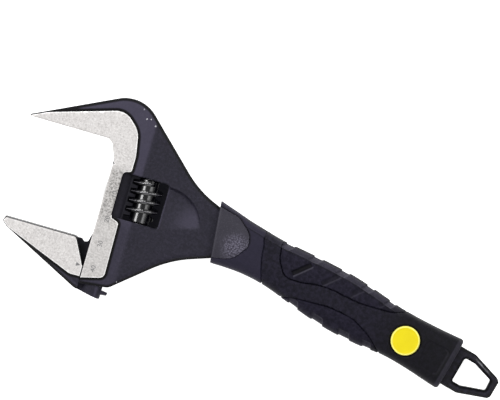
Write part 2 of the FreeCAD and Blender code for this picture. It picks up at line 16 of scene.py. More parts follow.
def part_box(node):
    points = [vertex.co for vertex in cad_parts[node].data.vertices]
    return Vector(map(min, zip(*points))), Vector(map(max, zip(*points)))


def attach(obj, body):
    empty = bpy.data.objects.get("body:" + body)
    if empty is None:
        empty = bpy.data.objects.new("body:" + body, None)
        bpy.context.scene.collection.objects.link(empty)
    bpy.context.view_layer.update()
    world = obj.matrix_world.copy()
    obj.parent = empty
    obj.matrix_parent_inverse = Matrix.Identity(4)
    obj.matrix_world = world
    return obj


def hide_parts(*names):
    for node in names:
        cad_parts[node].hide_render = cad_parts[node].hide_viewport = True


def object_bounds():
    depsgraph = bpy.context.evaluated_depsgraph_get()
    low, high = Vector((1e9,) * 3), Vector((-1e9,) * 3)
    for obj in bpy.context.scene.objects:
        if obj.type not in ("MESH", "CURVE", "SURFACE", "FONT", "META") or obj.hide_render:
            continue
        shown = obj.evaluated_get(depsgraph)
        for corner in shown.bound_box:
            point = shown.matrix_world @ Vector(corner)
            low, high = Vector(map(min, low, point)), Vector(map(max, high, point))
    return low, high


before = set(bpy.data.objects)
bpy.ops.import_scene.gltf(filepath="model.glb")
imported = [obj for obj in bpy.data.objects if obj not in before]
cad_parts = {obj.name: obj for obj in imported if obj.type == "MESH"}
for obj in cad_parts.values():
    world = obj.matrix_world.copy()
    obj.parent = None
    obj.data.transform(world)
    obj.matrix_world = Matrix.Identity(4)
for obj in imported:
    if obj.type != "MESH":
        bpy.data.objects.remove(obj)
cad_low, cad_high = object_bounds()

MM = 0.001


def box_mm(node):
    """Lowest and highest corner of a node, in millimetres."""
    low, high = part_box(node)
    return np.array(low) / MM, np.array(high) / MM


# --- sizes -------------------------------------------------------------------------------------

BODY_LOW, BODY_HIGH = box_mm("forged_body")
JAW_LOW, JAW_HIGH = box_mm("sliding_jaw")
WORM_LOW, WORM_HIGH = box_mm("worm")
BADGE_LOW, BADGE_HIGH = box_mm("badge_front")

GROUND = BODY_HIGH[2]  # half thickness across the ground faces
BLACK = GROUND - 0.6  # black band beside them
WEB = 4.5
TIP_X = BODY_LOW[0]
FRONT = 20.0  # guide face
OPENING = 40.0
HEAD_FOOT = -57.3
WINDOW_TOP, WINDOW_FOOT = -11.0, -29.0
ROD_X, ROD_RADIUS, BORE_RADIUS = 25.3, 4.3, 4.4
WORM_X = (WORM_LOW[0] + WORM_HIGH[0]) / 2
WORM_RADIUS = (WORM_HIGH[0] - WORM_LOW[0]) / 2
WORM_CORE = WORM_RADIUS - 2.4
PITCH = 3.6
RACK_ROOT, RACK_TIP = 29.3, JAW_HIGH[0]
WINDOW_LEFT, WINDOW_RIGHT = ROD_X - 0.5, WORM_X + WORM_RADIUS + 1.5
JAW_END = 14.5  # where the gripping faces end, towards the guide face

HANDLE_ANGLE = math.radians(14)
HANDLE_X, HANDLE_Y = 66.0, -23.7
GRIP_LENGTH = 104.7


def from_handle(u, v):
    """A point of the handle's axes in the frame's axes."""
    c, s = math.cos(HANDLE_ANGLE), math.sin(HANDLE_ANGLE)
    return HANDLE_X + c * u + s * v, HANDLE_Y - s * u + c * v


# --- outlines ----------------------------------------------------------------------------------


def spaced(points, step, closed=True):
    """The outline with points added, so that none are further apart than step."""
    points = np.asarray(points, float)
    ends = np.roll(points, -1, axis=0) if closed else points[1:]
    made = []
    for a, b in zip(points, ends):
        count = max(1, math.ceil(np.linalg.norm(b - a) / step))
        made += [a + (b - a) * i / count for i in range(count)]
    if not closed:
        made.append(points[-1])
    return np.array(made)


OUTLINE_STEP = 0.5


def rounded(corners):
    """A closed outline from corners (x, y), or (x, y, radius) where the corner is rounded."""
    made = []
    for i, corner in enumerate(corners):
        here = np.array(corner[:2], float)
        if len(corner) == 2:
            made.append(here)
            continue
        back = np.array(corners[i - 1][:2]) - here
        ahead = np.array(corners[(i + 1) % len(corners)][:2]) - here
        back, ahead = back / np.linalg.norm(back), ahead / np.linalg.norm(ahead)
        half = math.acos(np.clip(back @ ahead, -1, 1)) / 2
        radius = corner[2]
        middle = (back + ahead) / np.linalg.norm(back + ahead)
        centre = here + middle * radius / math.sin(half)
        start, stop = here + back * radius / math.tan(half), here + ahead * radius / math.tan(half)
        low = math.atan2(*(start - centre)[::-1])
        turn = math.atan2(*(stop - centre)[::-1]) - low
        turn = (turn + math.pi) % (2 * math.pi) - math.pi
        count = max(3, math.ceil(abs(turn) * radius / OUTLINE_STEP))
        angles = low + turn * np.arange(count + 1) / count
        made += list(centre + radius * np.stack([np.cos(angles), np.sin(angles)], axis=1))
    return spaced(made, OUTLINE_STEP)


def outward(loop):
    """The unit normals of a loop that runs anticlockwise, pointing out of it."""
    along = np.roll(loop, -1, axis=0) - np.roll(loop, 1, axis=0)
    along /= np.maximum(np.linalg.norm(along, axis=1, keepdims=True), 1e-9)
    return np.stack([along[:, 1], -along[:, 0]], axis=1)


def anticlockwise(loop):
    """The loop, turned round if it runs clockwise."""
    x, y = loop[:, 0], loop[:, 1]
    area = np.sum(x * np.roll(y, -1) - y * np.roll(x, -1))
    return loop if area > 0 else loop[::-1].copy()


def distance(points, loop):
    """How far each point is from a loop."""
    nearest = np.full(len(points), 1e9)
    for a, b in zip(loop, np.roll(loop, -1, axis=0)):
        run = b - a
        share = np.clip(((points - a) @ run) / max(run @ run, 1e-12), 0, 1)
        gap = points - a - share[:, None] * run
        nearest = np.minimum(nearest, np.einsum("ij,ij->i", gap, gap))
    return np.sqrt(nearest)


def inside(points, loop):
    """Which points lie inside a loop."""
    x, y = points[:, 0], points[:, 1]
    found = np.zeros(len(points), bool)
    for (ax, ay), (bx, by) in zip(loop, np.roll(loop, -1, axis=0)):
        crosses = (ay > y) != (by > y)
        with np.errstate(divide="ignore", invalid="ignore"):
            found ^= crosses & (x < (bx - ax) * (y - ay) / (by - ay) + ax)
    return found


def depth(points, loop):
    """Distance to a loop, positive inside it and negative outside."""
    return np.where(inside(points, loop), 1, -1) * distance(points, loop)


def ease(x):
    """A smooth step from 0 to 1 while x goes from 0 to 1."""
    x = np.clip(x, 0, 1)
    return x * x * (3 - 2 * x)


def peak(x, middle, reach):
    """1 where x is at the middle, easing to 0 at that reach on either side."""
    return ease(1 - np.abs(x - middle) / reach)


def from_places(points, places):
    """How far each point is from the nearest of some places."""
    return np.min([np.linalg.norm(points - p, axis=1) for p in places], axis=0)


# --- meshes ------------------------------------------------------------------------------------


def make_object(name, points, faces, sharp=35.0):
    mesh = bpy.data.meshes.new(name)
    mesh.from_pydata((np.asarray(points) * MM).tolist(), [], [tuple(map(int, f)) for f in faces])
    mesh.validate()
    mesh.shade_smooth()
    mesh.set_sharp_from_angle(angle=math.radians(sharp))
    made = bpy.data.objects.new(name, mesh)
    bpy.context.scene.collection.objects.link(made)
    return made


def add_mask(made, name, values):
    """Stores one number for each vertex, for a finish to read."""
    layer = made.data.attributes.new(name, "FLOAT", "POINT")
    layer.data.foreach_set("value", np.asarray(values, np.float32))


def corners_mm(made):
    """A mesh's vertices, in millimetres."""
    points = np.empty(len(made.data.vertices) * 3)
    made.data.vertices.foreach_get("co", points)
    return points.reshape(-1, 3) / MM


WALL_RIM = 0.6  # how far down a plate's side its worn edge reaches


def relief(name, outline, height, holes=(), creases=(), spacing=0.9, rings=(0.1, 0.3, 0.7, 1.3, 2.0)):
    """A plate with the same relief on both wide faces.

    height gives half the thickness at each point. Points lie on the outline and the holes, on rings
    inside them, on the creases, and on a grid between.
    """
    outline = anticlockwise(outline)
    loops = [outline] + [anticlockwise(h) for h in holes]
    points, edges, start = [], [], 0
    for loop in loops:
        points.append(loop)
        count = len(loop)
        edges += [(start + i, start + (i + 1) % count) for i in range(count)]
        start += count
    for line in creases:
        points.append(line)
        edges += [(start + i, start + i + 1) for i in range(len(line) - 1)]
        start += len(line)

    def is_solid(p):
        solid = inside(p, outline)
        for hole in loops[1:]:
            solid &= ~inside(p, hole)
        return solid

    def room(p):
        return np.min([distance(p, loop) for loop in loops], axis=0)

    for loop in loops:
        way = -outward(loop) if loop is outline else outward(loop)
        for ring in rings:
            tried = loop + way * ring
            points.append(tried[is_solid(tried) & (room(tried) > 0.93 * ring)])
    low, high = outline.min(0), outline.max(0)
    grid = np.stack(
        np.meshgrid(np.arange(low[0], high[0], spacing), np.arange(low[1], high[1], spacing)), axis=-1
    ).reshape(-1, 2)
    points.append(grid[is_solid(grid) & (room(grid) > rings[-1] + 0.3 * spacing)])
    found, _, faces, *_ = delaunay_2d_cdt([Vector(p) for p in np.vstack(points)], edges, [], 0, 1e-4)
    flat = np.array([(p.x, p.y) for p in found])
    faces = np.array([f for f in faces if len(f) == 3])
    faces = faces[is_solid(flat[faces].mean(axis=1))]
    a, b, c = (flat[faces[:, i]] for i in range(3))
    area = (b[:, 0] - a[:, 0]) * (c[:, 1] - a[:, 1]) - (b[:, 1] - a[:, 1]) * (c[:, 0] - a[:, 0])
    faces = faces[np.abs(area) > 1e-7]
    area = area[np.abs(area) > 1e-7]
    faces[area < 0] = faces[area < 0][:, ::-1]
    used = np.unique(faces)
    renumber = np.full(len(flat), -1)
    renumber[used] = np.arange(len(used))
    flat, faces = flat[used], renumber[faces]
    rise = height(flat)
    count = len(flat)
    once = {}
    for face in faces:
        for i in range(3):
            pair = (face[i], face[(i + 1) % 3])
            if (pair[1], pair[0]) in once:
                del once[(pair[1], pair[0])]
            else:
                once[pair] = True
    border = np.unique(list(once))
    rows = np.full((4, count), -1)
    rows[0], rows[3] = np.arange(count), np.arange(count) + count
    rows[1, border] = 2 * count + np.arange(len(border))
    rows[2, border] = rows[1, border] + len(border)
    walls = [(rows[i, b], rows[i, a], rows[i + 1, a], rows[i + 1, b]) for a, b in once for i in range(3)]
    flanks = rise[border] - WALL_RIM
    heights = np.concatenate([rise, -rise, flanks, -flanks])
    solid = np.column_stack([np.vstack([flat, flat, flat[border], flat[border]]), heights])
    made = make_object(name, solid, [*faces, *(faces[:, ::-1] + count), *walls])
    near = np.clip(1 - room(flat) / 1.2, 0, 1)
    add_mask(made, "edge", np.concatenate([near, near, np.full(2 * len(border), 0.3)]))
    return made


def turned(name, profile, steps=72):
    """A solid of revolution about Y from (radius, y) points; both ends lie on the axis."""
    angles = np.arange(steps) * 2 * math.pi / steps
    rows = [
        np.column_stack([r * np.sin(angles), np.full(steps, y), r * np.cos(angles)]) for r, y in profile
    ]
    points = np.vstack(rows)
    faces = []
    for i in range(len(profile) - 1):
        for j in range(steps):
            k = (j + 1) % steps
            faces.append((i * steps + j, i * steps + k, (i + 1) * steps + k, (i + 1) * steps + j))
    faces.append(range(steps)[::-1])
    faces.append(range((len(profile) - 1) * steps, len(profile) * steps))
    return make_object(name, points, faces)


def prism(name, corners, low, high, lean=lambda x: 0):
    """A solid between two heights from an anticlockwise outline, which may lean along y as it rises."""
    count = len(corners)
    points = [(x, y + z * lean(x), z) for z in (low, high) for x, y in corners]
    walls = [(i, (i + 1) % count, (i + 1) % count + count, i + count) for i in range(count)]
    return make_object(name, points, [range(count)[::-1], range(count, 2 * count), *walls])


def block(name, low, high):
    """A box between two corners."""
    low, high = np.array(low, float), np.array(high, float)
    points = [[(low, high)[(i >> k) & 1][k] for k in range(3)] for i in range(8)]
    faces = [(0, 2, 3, 1), (4, 5, 7, 6), (0, 1, 5, 4), (2, 6, 7, 3), (0, 4, 6, 2), (1, 3, 7, 5)]
    return make_object(name, points, faces)


def moved(made, x, y=0.0):
    """Shifts a mesh, in millimetres."""
    made.data.transform(Matrix.Translation(Vector((x, y, 0)) * MM))
    return made


def combine(made, tools, operation):
    """Cuts the tools from a solid, or joins them to it."""
    for tool in tools:
        step = made.modifiers.new(tool.name, "BOOLEAN")
        step.operation, step.solver, step.object = operation, "MANIFOLD", tool
    bpy.context.view_layer.update()
    shape = bpy.data.meshes.new_from_object(made.evaluated_get(bpy.context.evaluated_depsgraph_get()))
    made.modifiers.clear()
    made.data = shape
    for tool in tools:
        bpy.data.objects.remove(tool)
    shape.shade_smooth()
    shape.set_sharp_from_angle(angle=math.radians(35))
    return made


def to_handle(made):
    """Turns a shape made in the handle's axes to its place."""
    x, y = from_handle(0, 0)
    made.data.transform(Matrix.Translation((x * MM, y * MM, 0)) @ Matrix.Rotation(-HANDLE_ANGLE, 4, "Z"))
    return made


def finish_with(made, materials, choose=None):
    """Gives materials to a piece; choose picks one for each face from its centre and normal."""
    made.data.materials.clear()
    for material in materials:
        made.data.materials.append(material)
    if choose:
        count = len(made.data.polygons)
        centres, normals = np.empty(count * 3), np.empty(count * 3)
        made.data.polygons.foreach_get("center", centres)
        made.data.polygons.foreach_get("normal", normals)
        picked = choose(centres.reshape(-1, 3) / MM, normals.reshape(-1, 3))
        made.data.polygons.foreach_set("material_index", np.asarray(picked, np.int32))
    return made


# --- finishes ----------------------------------------------------------------------------------


class Wire:
    """A shader socket on which sums are written as Python expressions."""

    def __init__(self, finish, socket):
        self.finish, self.socket = finish, socket

    def math(self, operation, a, b):
        return self.finish.node("ShaderNodeMath", {"operation": operation}, **{"0": a, "1": b})

    def __add__(self, other):
        return self.math("ADD", self, other)

    def __sub__(self, other):
        return self.math("SUBTRACT", self, other)

    def __rsub__(self, other):
        return self.math("SUBTRACT", other, self)

    def __mul__(self, other):
        return self.math("MULTIPLY", self, other)

    __radd__ = __add__
    __rmul__ = __mul__


class Finish:
    """A material's nodes around one shader. Lengths are in millimetres unless said otherwise."""

    def __init__(self, name, **constants):
        self.material = bpy.data.materials.new(name)
        self.material.use_nodes = True
        self.tree = self.material.node_tree
        self.tree.nodes.clear()
        output = self.tree.nodes.new("ShaderNodeOutputMaterial")
        self.shader = self.tree.nodes.new("ShaderNodeBsdfPrincipled")
        self.tree.links.new(self.shader.outputs[0], output.inputs[0])
        for socket, value in constants.items():
            self.shader.inputs[socket.replace("_", " ")].default_value = value
        self.place = self.node("ShaderNodeTexCoord", output="Object")

    def node(self, kind, settings=None, output=0, **sockets):
        """Adds a node: its settings first, then the value or wire of each socket."""
        made = self.tree.nodes.new(kind)
        for name, value in (settings or {}).items():
            setattr(made, name, value)
        for name, value in sockets.items():
            inputs = {s.identifier: s for s in made.inputs}
            socket = made.inputs[int(name)] if name.isdigit() else inputs.get(name) or made.inputs[name]
            if isinstance(value, Wire):
                self.tree.links.new(value.socket, socket)
            else:
                socket.default_value = value
        return Wire(self, made.outputs[output])

    def noise(self, grain_mm, detail, rough=0.5):
        """Noise whose grains are about that many millimetres across."""
        sockets = {"Vector": self.place, "Scale": 1 / (grain_mm * MM), "Detail": detail, "Roughness": rough}
        return self.node("ShaderNodeTexNoise", **sockets)

    def cells(self, grain_mm):
        """The distance to the nearest of scattered points about that many millimetres apart."""
        return self.node("ShaderNodeTexVoronoi", Vector=self.place, Scale=1 / (grain_mm * MM))

    def away(self, here, place):
        """The distance from here to a place in metres."""
        sockets = {"0": here, "1": place}
        return self.node("ShaderNodeVectorMath", {"operation": "DISTANCE"}, output="Value", **sockets)

    def mask(self, name):
        """The number stored for each vertex under a name, or 0 where a mesh has none."""
        return self.node("ShaderNodeAttribute", {"attribute_name": name}, output="Fac")

    def spot(self, x, y, radius):
        """1 inside a round spot at (x, y) on either wide face, 0 outside it."""
        sockets = {"0": self.place, "1": (1, 1, 0)}
        flat = self.node("ShaderNodeVectorMath", {"operation": "MULTIPLY"}, **sockets)
        return 1 - self.band(self.away(flat, (x * MM, y * MM, 0)), 0.5 * radius * MM, radius * MM)

    def band(self, wire, low, high):
        """0 where the wire is under low, 1 where it is over high."""
        sockets = {"Value": wire, "From Min": low, "From Max": high}
        return self.node("ShaderNodeMapRange", {"interpolation_type": "SMOOTHSTEP"}, **sockets)

    def mix(self, amount, a, b):
        """Colour a where the amount is 0, colour b where it is 1."""
        sockets = {"Factor_Float": amount, "A_Color": a, "B_Color": b}
        return self.node("ShaderNodeMix", {"data_type": "RGBA"}, output=2, **sockets)

    def bump(self, height, depth_mm):
        return self.node("ShaderNodeBump", Height=height, Strength=1.0, Distance=depth_mm * MM)

    def give(self, **sockets):
        """Links wires to the shader's sockets, and returns the finished material."""
        for name, wire in sockets.items():
            self.tree.links.new(wire.socket, self.shader.inputs[name.replace("_", " ")])
        return self.material


def shade(red, green, blue):
    """A colour from the 0 to 255 values that a screen shows."""
    return (*[(c / 255) ** 2.2 for c in (red, green, blue)], 1.0)


# Bright spots on the black, at listed places: x, y and radius.
BRIGHT_SPOTS = [(26, 14.5, 0.4), (28, 11.2, 0.4), (29.7, 11.5, 0.35), (32, 9.5, 0.45), (34, -53, 0.35)]


def black_coat():
    """Blackened forging: satin navy-black, finely grained, worn along its edges; painted light and shade
    from masks; bright spots.
    """
    f = Finish("black_coat", Metallic=0.0, IOR=1.35)
    cloud, grain, speck = f.noise(9, 4), f.noise(0.4, 4, 0.7), f.noise(1.1, 3, 0.6)
    colour = f.mix(cloud, shade(17, 15, 26), shade(30, 28, 41))
    colour = f.mix(f.band(speck, 0.42, 0.66) * 0.3, colour, shade(50, 47, 62))
    colour = f.mix(f.band(grain, 0.5, 0.72) * 0.3, colour, shade(58, 55, 70))
    # Painted light: where the "lit" mask is high the black is painted lighter, for light on the band,
    # scoop, window brim and jaw bevel.
    colour = f.mix(f.mask("lit") * 0.45, colour, shade(74, 70, 88))
    # Painted shade: where the "dark" mask is high the black is painted nearly black, beside ground faces,
    # on bevels and inside the head.
    colour = f.mix(f.mask("dark"), colour, shade(2, 1, 6))
    worn = f.band(f.mask("edge") + speck * 0.6, 1.2, 1.38)
    bright_spots = f.spot(*BRIGHT_SPOTS[0])
    for bright_spot in BRIGHT_SPOTS[1:]:
        bright_spots = bright_spots + f.spot(*bright_spot)
    bright_spots = bright_spots * f.band(grain, 0.44, 0.56)
    colour = f.mix(worn * 0.25, colour, shade(130, 128, 136))
    # Nearly white spots at the listed places, over the grain.
    colour = f.mix(bright_spots, colour, shade(205, 205, 210))
    rough = 0.55 + grain * 0.2 - worn * 0.15 + f.mask("dark") * 0.25
    return f.give(Base_Color=colour, Roughness=rough, Normal=f.bump(grain + cloud * 2, 0.12))


def ground_steel():
    """Bare steel, ground flat and then blasted: a warm light grey, speckled, with painted highlights along
    its edges.
    """
    f = Finish("ground_steel", Metallic=0.35, IOR=1.6)
    cloud, grain, fine = f.noise(5, 4), f.noise(0.8, 4, 0.7), f.noise(0.5, 2)
    colour = f.mix(cloud, shade(186, 183, 182), shade(203, 200, 198))
    colour = f.mix(f.band(grain, 0.47, 0.62) * 0.5, colour, shade(152, 148, 146))
    colour = f.mix(f.band(fine, 0.5, 0.66) * 0.45, colour, shade(226, 224, 223))
    colour = f.mix(f.mask("rough") * 0.4, colour, shade(150, 148, 145))
    pits = f.band(f.noise(0.75, 3, 0.7), 0.45, 0.6)
    colour = f.mix(f.mask("rough") * f.mask("rough") * pits * 0.7, colour, shade(92, 90, 88))
    # Painted highlight: the "rim" mask paints the ground faces' edges nearly white, for the light caught
    # along them.
    bright = f.band(f.mask("rim"), 0.35, 0.9)
    colour = f.mix(bright * 0.9, colour, shade(250, 249, 248))
    rough = 0.45 + grain * 0.25 - bright * 0.2
    return f.give(Base_Color=colour, Roughness=rough, Normal=f.bump(grain + fine, 0.06))


def worm_black():
    """The worm: oiled black steel, smoother than the forging, with painted highlights along its thread
    crests and at its barrel's ends.
    """
    f = Finish("worm_black", Metallic=0.0, IOR=1.75)
    grain, cloud = f.noise(0.4, 3), f.noise(2, 3)
    # Painted highlight: the "crest" mask lightens the thread's crest line and the barrel's ends.
    crest_highlight = f.band(f.mask("crest") + cloud * 0.5, 0.75, 1.3)
    colour = f.mix(cloud, shade(4, 3, 8), shade(10, 9, 15))
    colour = f.mix(crest_highlight * 0.45, colour, shade(150, 148, 156))
    return f.give(Base_Color=colour, Roughness=0.14 + grain * 0.08, Normal=f.bump(grain, 0.004))


def steel(name, tone, metallic=0.9):
    """Plain drawn or milled steel of one tone."""
    f = Finish(name, Metallic=metallic)
    grain, cloud = f.noise(0.3, 2), f.noise(4, 3)
    colour = f.mix(cloud, shade(tone - 25, tone - 25, tone - 22), shade(tone, tone, tone))
    return f.give(Base_Color=colour, Roughness=0.35 + grain * 0.2, Normal=f.bump(grain, 0.02))


def moulded(name, dark, light, grain_mm, rough, bump_mm):
    """Moulded plastic or rubber with a spark-eroded skin, and painted light, shade and highlights from its
    masks.
    """
    f = Finish(name, IOR=1.42, Specular_IOR_Level=0.22)
    grain, cloud, mottle = f.noise(grain_mm, 3, 0.6), f.noise(14, 3), f.noise(1.5, 3, 0.6)
    colour = f.mix(cloud, dark, light)
    colour = f.mix(f.band(mottle, 0.38, 0.66) * 0.45, colour, shade(40, 37, 52))
    colour = f.mix(f.band(grain, 0.5, 0.72) * 0.3, colour, shade(52, 49, 62))
    # Painted light from "lit", painted shade from "dark" (which also darkens the grip towards its end),
    # painted highlight from "shine".
    colour = f.mix(f.mask("lit") * 0.7, colour, shade(86, 84, 94))
    colour = f.mix(f.mask("dark") * 0.9, colour, shade(3, 2, 6))
    colour = f.mix(f.mask("shine") * f.band(mottle, 0.35, 0.6), colour, shade(190, 190, 194))
    return f.give(Base_Color=colour, Roughness=rough + grain * 0.15, Normal=f.bump(grain, bump_mm))


def pebbled():
    """The thumb pad: lighter grey, with pebbles towards its tip whose tops are painted lighter, as painted
    highlights.
    """
    f = Finish("thumb_pebble", IOR=1.45, Specular_IOR_Level=0.4)
    pebbles, cloud, fine = f.cells(0.6), f.noise(4, 3), f.noise(0.5, 2)
    tip = f.mask("tip")
    # Painted highlight: each pebble is painted lighter at its middle and darker at its edge.
    stones = f.mix(f.band(pebbles, 0.1, 0.75), shade(96, 93, 108), shade(48, 45, 57))
    colour = f.mix(tip, f.mix(cloud, shade(34, 32, 42), shade(46, 44, 54)), stones)
    colour = f.mix(f.band(fine, 0.5, 0.75) * 0.3, colour, shade(76, 74, 84))
    # Painted light along the pad's front edge, from the "lit" mask.
    colour = f.mix(f.mask("lit") * 0.5, colour, shade(100, 98, 108))
    height = (1 - pebbles) * tip + fine * 0.3
    return f.give(Base_Color=colour, Roughness=0.55 + fine * 0.2, Normal=f.bump(height, 0.2))


def yellow(name, tone, pale):
    """Glossy yellow plastic, faintly clouded."""
    f = Finish(name, IOR=1.5, Specular_IOR_Level=0.3)
    cloud, fine = f.noise(5, 3), f.noise(0.5, 2)
    colour, rough = f.mix(cloud, tone, pale), 0.42 + fine * 0.12
    return f.give(Base_Color=colour, Roughness=rough, Normal=f.bump(fine, 0.01))


COAT = black_coat()
STEEL = ground_steel()
# Painted shade: the gripping faces are bare ground steel, painted dark grey here for the shade on these
# narrow side walls.
SHADED_FACE_STEEL = steel("jaw_face_shaded_steel", 48, 0.2)
WORM_FINISH = worm_black()
PIN_STEEL = steel("pin_steel", 90)
SPRING_STEEL = steel("spring_steel", 150)
MARKING = steel("marking_black", 118, 0.0)
COLLAR = moulded("collar_plastic", shade(30, 28, 41), shade(39, 37, 50), 0.5, 0.6, 0.05)
HARD = moulded("hard_plastic", shade(11, 10, 20), shade(18, 16, 28), 0.5, 0.58, 0.05)
SOFT = moulded("soft_rubber", shade(11, 9, 22), shade(19, 16, 31), 0.7, 0.64, 0.06)
LOOP_COAT = moulded("loop_coat", shade(4, 4, 5), shade(9, 9, 10), 0.6, 0.34, 0.03)
PEBBLE = pebbled()
YELLOW = yellow("badge_yellow", shade(208, 190, 0), shade(222, 205, 4))
# Painted highlight: a paler copy of the yellow for the badge's bevelled rim.
YELLOW_RIM_HIGHLIGHT = yellow("badge_rim_highlight", shade(238, 228, 96), shade(242, 236, 120))

# --- forged head -------------------------------------------------------------------------------

SHOULDER = (23.8, BODY_HIGH[1] + 2.5, 13.7)
GUSSET = [(15.9, 0, 0.8), (17.6, -1.3, 2), (FRONT, -7.4, 6)]
NECK_LOW, NECK_HIGH = from_handle(6, -8.0), from_handle(5.6, 7.6)
HEAD = [
    (TIP_X, 0),
    *GUSSET,
    (FRONT, HEAD_FOOT, 0.6),
    (31.5, HEAD_FOOT + 1.2, 4),
    (51.8, -39.2, 45),
    NECK_LOW,
    NECK_HIGH,
    (55.1, -10.05, 41),
    SHOULDER,
    (TIP_X, 0.6),
]
HEAD_GROUND = [
    (TIP_X + 0.2, -0.5),
    (FRONT - 6, -0.5),
    (FRONT + 0.8, -9),
    (FRONT - 0.5, -9),
    (FRONT - 0.5, HEAD_FOOT + 2.2),
    (28.8, HEAD_FOOT + 4.6, 2.2),
    (28.4, -30.6, 1.2),
    (WINDOW_LEFT + 0.4, -29.4, 0.6),
    (WINDOW_LEFT + 0.4, -10.9, 0.8),
    (27.9, -10.2, 0.8),
    (27.9, -4, 8),
    (26.2, 5.7, 9),
    (19.3, 12.1, 7),
    (-9.5, 3.3, 20),
    (TIP_X + 0.2, 0.35),
]
WINDOW = [
    (WINDOW_LEFT, WINDOW_TOP, 1.2),
    (WINDOW_RIGHT, WINDOW_TOP, 1.2),
    (WINDOW_RIGHT, WINDOW_FOOT, 1.2),
    (WINDOW_LEFT, WINDOW_FOOT, 1.2),
]
SCOOP = [(43.0, -11.6), (49.5, -12.2, 14), (56.5, -16.5, 12), (60.2, -24.6, 2.2), (43.0, -29.3)]
STEP = 0.3  # width of the step from a ground face down to the black
# The band beside that step is a painted shadow, nearly black.
STEP_SHADOW = 1.35  # width of the nearly black band beside that step
STEP_ROWS = (STEP, 0.8, STEP_SHADOW)  # where extra rows of points follow a ground face
BAND_START, BAND_END = 28.6, 32.3  # between them the band beside the ground face slopes to the web


def ground_rise(points, loop, base, others):
    """The height of a ground face, eased at its rim, over the black beside it."""
    within = depth(points, loop)
    rim = np.minimum(within, others)
    rise = base + (GROUND - base) * ease(within / STEP + 1)
    return rise - 0.12 * ease(1 - rim / 0.25) * (within > 0)


head_outline = anticlockwise(rounded(HEAD))
head_ground = anticlockwise(rounded(HEAD_GROUND))
head_window = rounded(WINDOW)
scoop_loop = anticlockwise(rounded(SCOOP))
back_edge = head_outline[
    (head_outline[:, 0] > FRONT + 1) | (head_outline[:, 1] > 0.3) | (head_outline[:, 1] < HEAD_FOOT + 0.1)
]


def head_height(points):
    """Half the head's thickness: the web, its bevelled edge, the thumb scoop and the ground face."""
    x = points[:, 0]
    base = np.interp(x, [BAND_START, BAND_END, 45, HANDLE_X], [BLACK, WEB + 0.05, WEB - 0.15, 4.0])
    bevel = np.clip(1 - from_places(points, back_edge) / 1.5, 0, 1)
    base = base - np.interp(x, [30, 36], [0.58, 1.4]) * bevel
    # The scoop rises to nothing along its lower side.
    over_foot = np.abs(points[:, 1] - (-29.3 + (x - 43) * 0.27))
    wall = np.clip(depth(points, scoop_loop) / 0.9, 0, 1) * 1.5
    base = base - np.minimum(wall, 0.14 * over_foot) * inside(points, scoop_loop)
    rest = np.minimum(distance(points, head_outline), distance(points, head_window))
    rise = ground_rise(points, head_ground, base, rest)
    return rise - 0.25 * peak(distance(points, head_window), 0, 0.3) * (x > WINDOW_LEFT + 1)


def line(*points):
    """A crease from point to point."""
    return spaced(points, 0.6, closed=False)


def closed(loop):
    """A crease right round a loop."""
    return np.vstack([loop, loop[:1]])


def beside(loop, gaps):
    """Creases outside a loop, at each gap from it."""
    return [closed(loop + outward(loop) * gap) for gap in gaps]


head = relief(
    "forged_head",
    head_outline,
    head_height,
    holes=[head_window],
    creases=[
        *beside(head_ground, (0, *STEP_ROWS)),
        closed(scoop_loop),
        line((BAND_START, 11), (BAND_START, -10.5)),
        line((BAND_END, 9), (BAND_END, -10.5)),
        line((BAND_END, -29.6), (BAND_END, -54)),
    ],
)
rod_bore = moved(turned("rod_bore", [(BORE_RADIUS, -70), (BORE_RADIUS, 30)]), x=ROD_X)
pin_hole = moved(turned("pin_hole", [(2.0, -70), (2.0, -4)], 32), x=WORM_X)
SLOT = 2.45
cuts = [
    rod_bore,
    pin_hole,
    block("neck_slot", (FRONT - 1, -70, -SLOT), (ROD_X, 5, SLOT)),
    block("gusset_slot", (15.8, -8, -SLOT), (FRONT - 0.5, 0.3, SLOT)),
    block("rack_slot", (ROD_X, -70, -2.85), (RACK_TIP + 0.25, 30, 2.85)),
]
combine(head, cuts, "DIFFERENCE")


def mark_ground(made, loop, rim_points, lit, dark):
    """Stores the masks of the head or the jaw: the rims' painted highlight, the rough steel, and painted
    light and shade on the black.
    """
    points = corners_mm(made)
    x, y, z = points.T
    within = depth(points[:, :2], loop)
    top = np.abs(z) > BLACK + 0.2
    gripping = (x < JAW_END) & (np.minimum(np.abs(y + 0.5), np.abs(y + OPENING + 0.3)) < 0.8)
    # Painted highlight along the rims of the ground faces, but not along the gripping edges.
    add_mask(made, "rim", np.where(top & ~gripping, np.clip(1 - np.abs(within) / 0.5, 0, 1), 0))
    strip = ease((x - FRONT + 1) / 2) * ease((-8 - y) / 4)
    add_mask(made, "rough", top * strip * (0.5 + 0.5 * ease((y + 36) / 10)))
    wide = np.abs(z) > 2.8
    # Painted shadow: a nearly black band beside the step down from a ground face.
    step_shadow = wide * ease((within + STEP_SHADOW) / 0.55) * (within < 0)
    # Painted shade along the bevelled edge.
    bevel = 0.95 * ease((1.25 - from_places(points[:, :2], rim_points)) / 0.45)
    add_mask(made, "dark", np.maximum.reduce([step_shadow, bevel, dark(points)]))
    # Painted light on the black.
    add_mask(made, "lit", wide * lit(points))


def ground_or_face(loop, is_face):
    """Picks 1 for a ground face, 2 for a face that grips, and 0 for the black elsewhere."""

    def choose(centres, normals):
        flat = (np.abs(centres[:, 2]) > GROUND - 0.2) & (np.abs(normals[:, 2]) > 0.5)
        picked = np.where(flat & (depth(centres[:, :2], loop) > 0), 1, 0)
        return np.where((np.abs(normals[:, 2]) < 0.5) & is_face(centres, normals), 2, picked)

    return choose


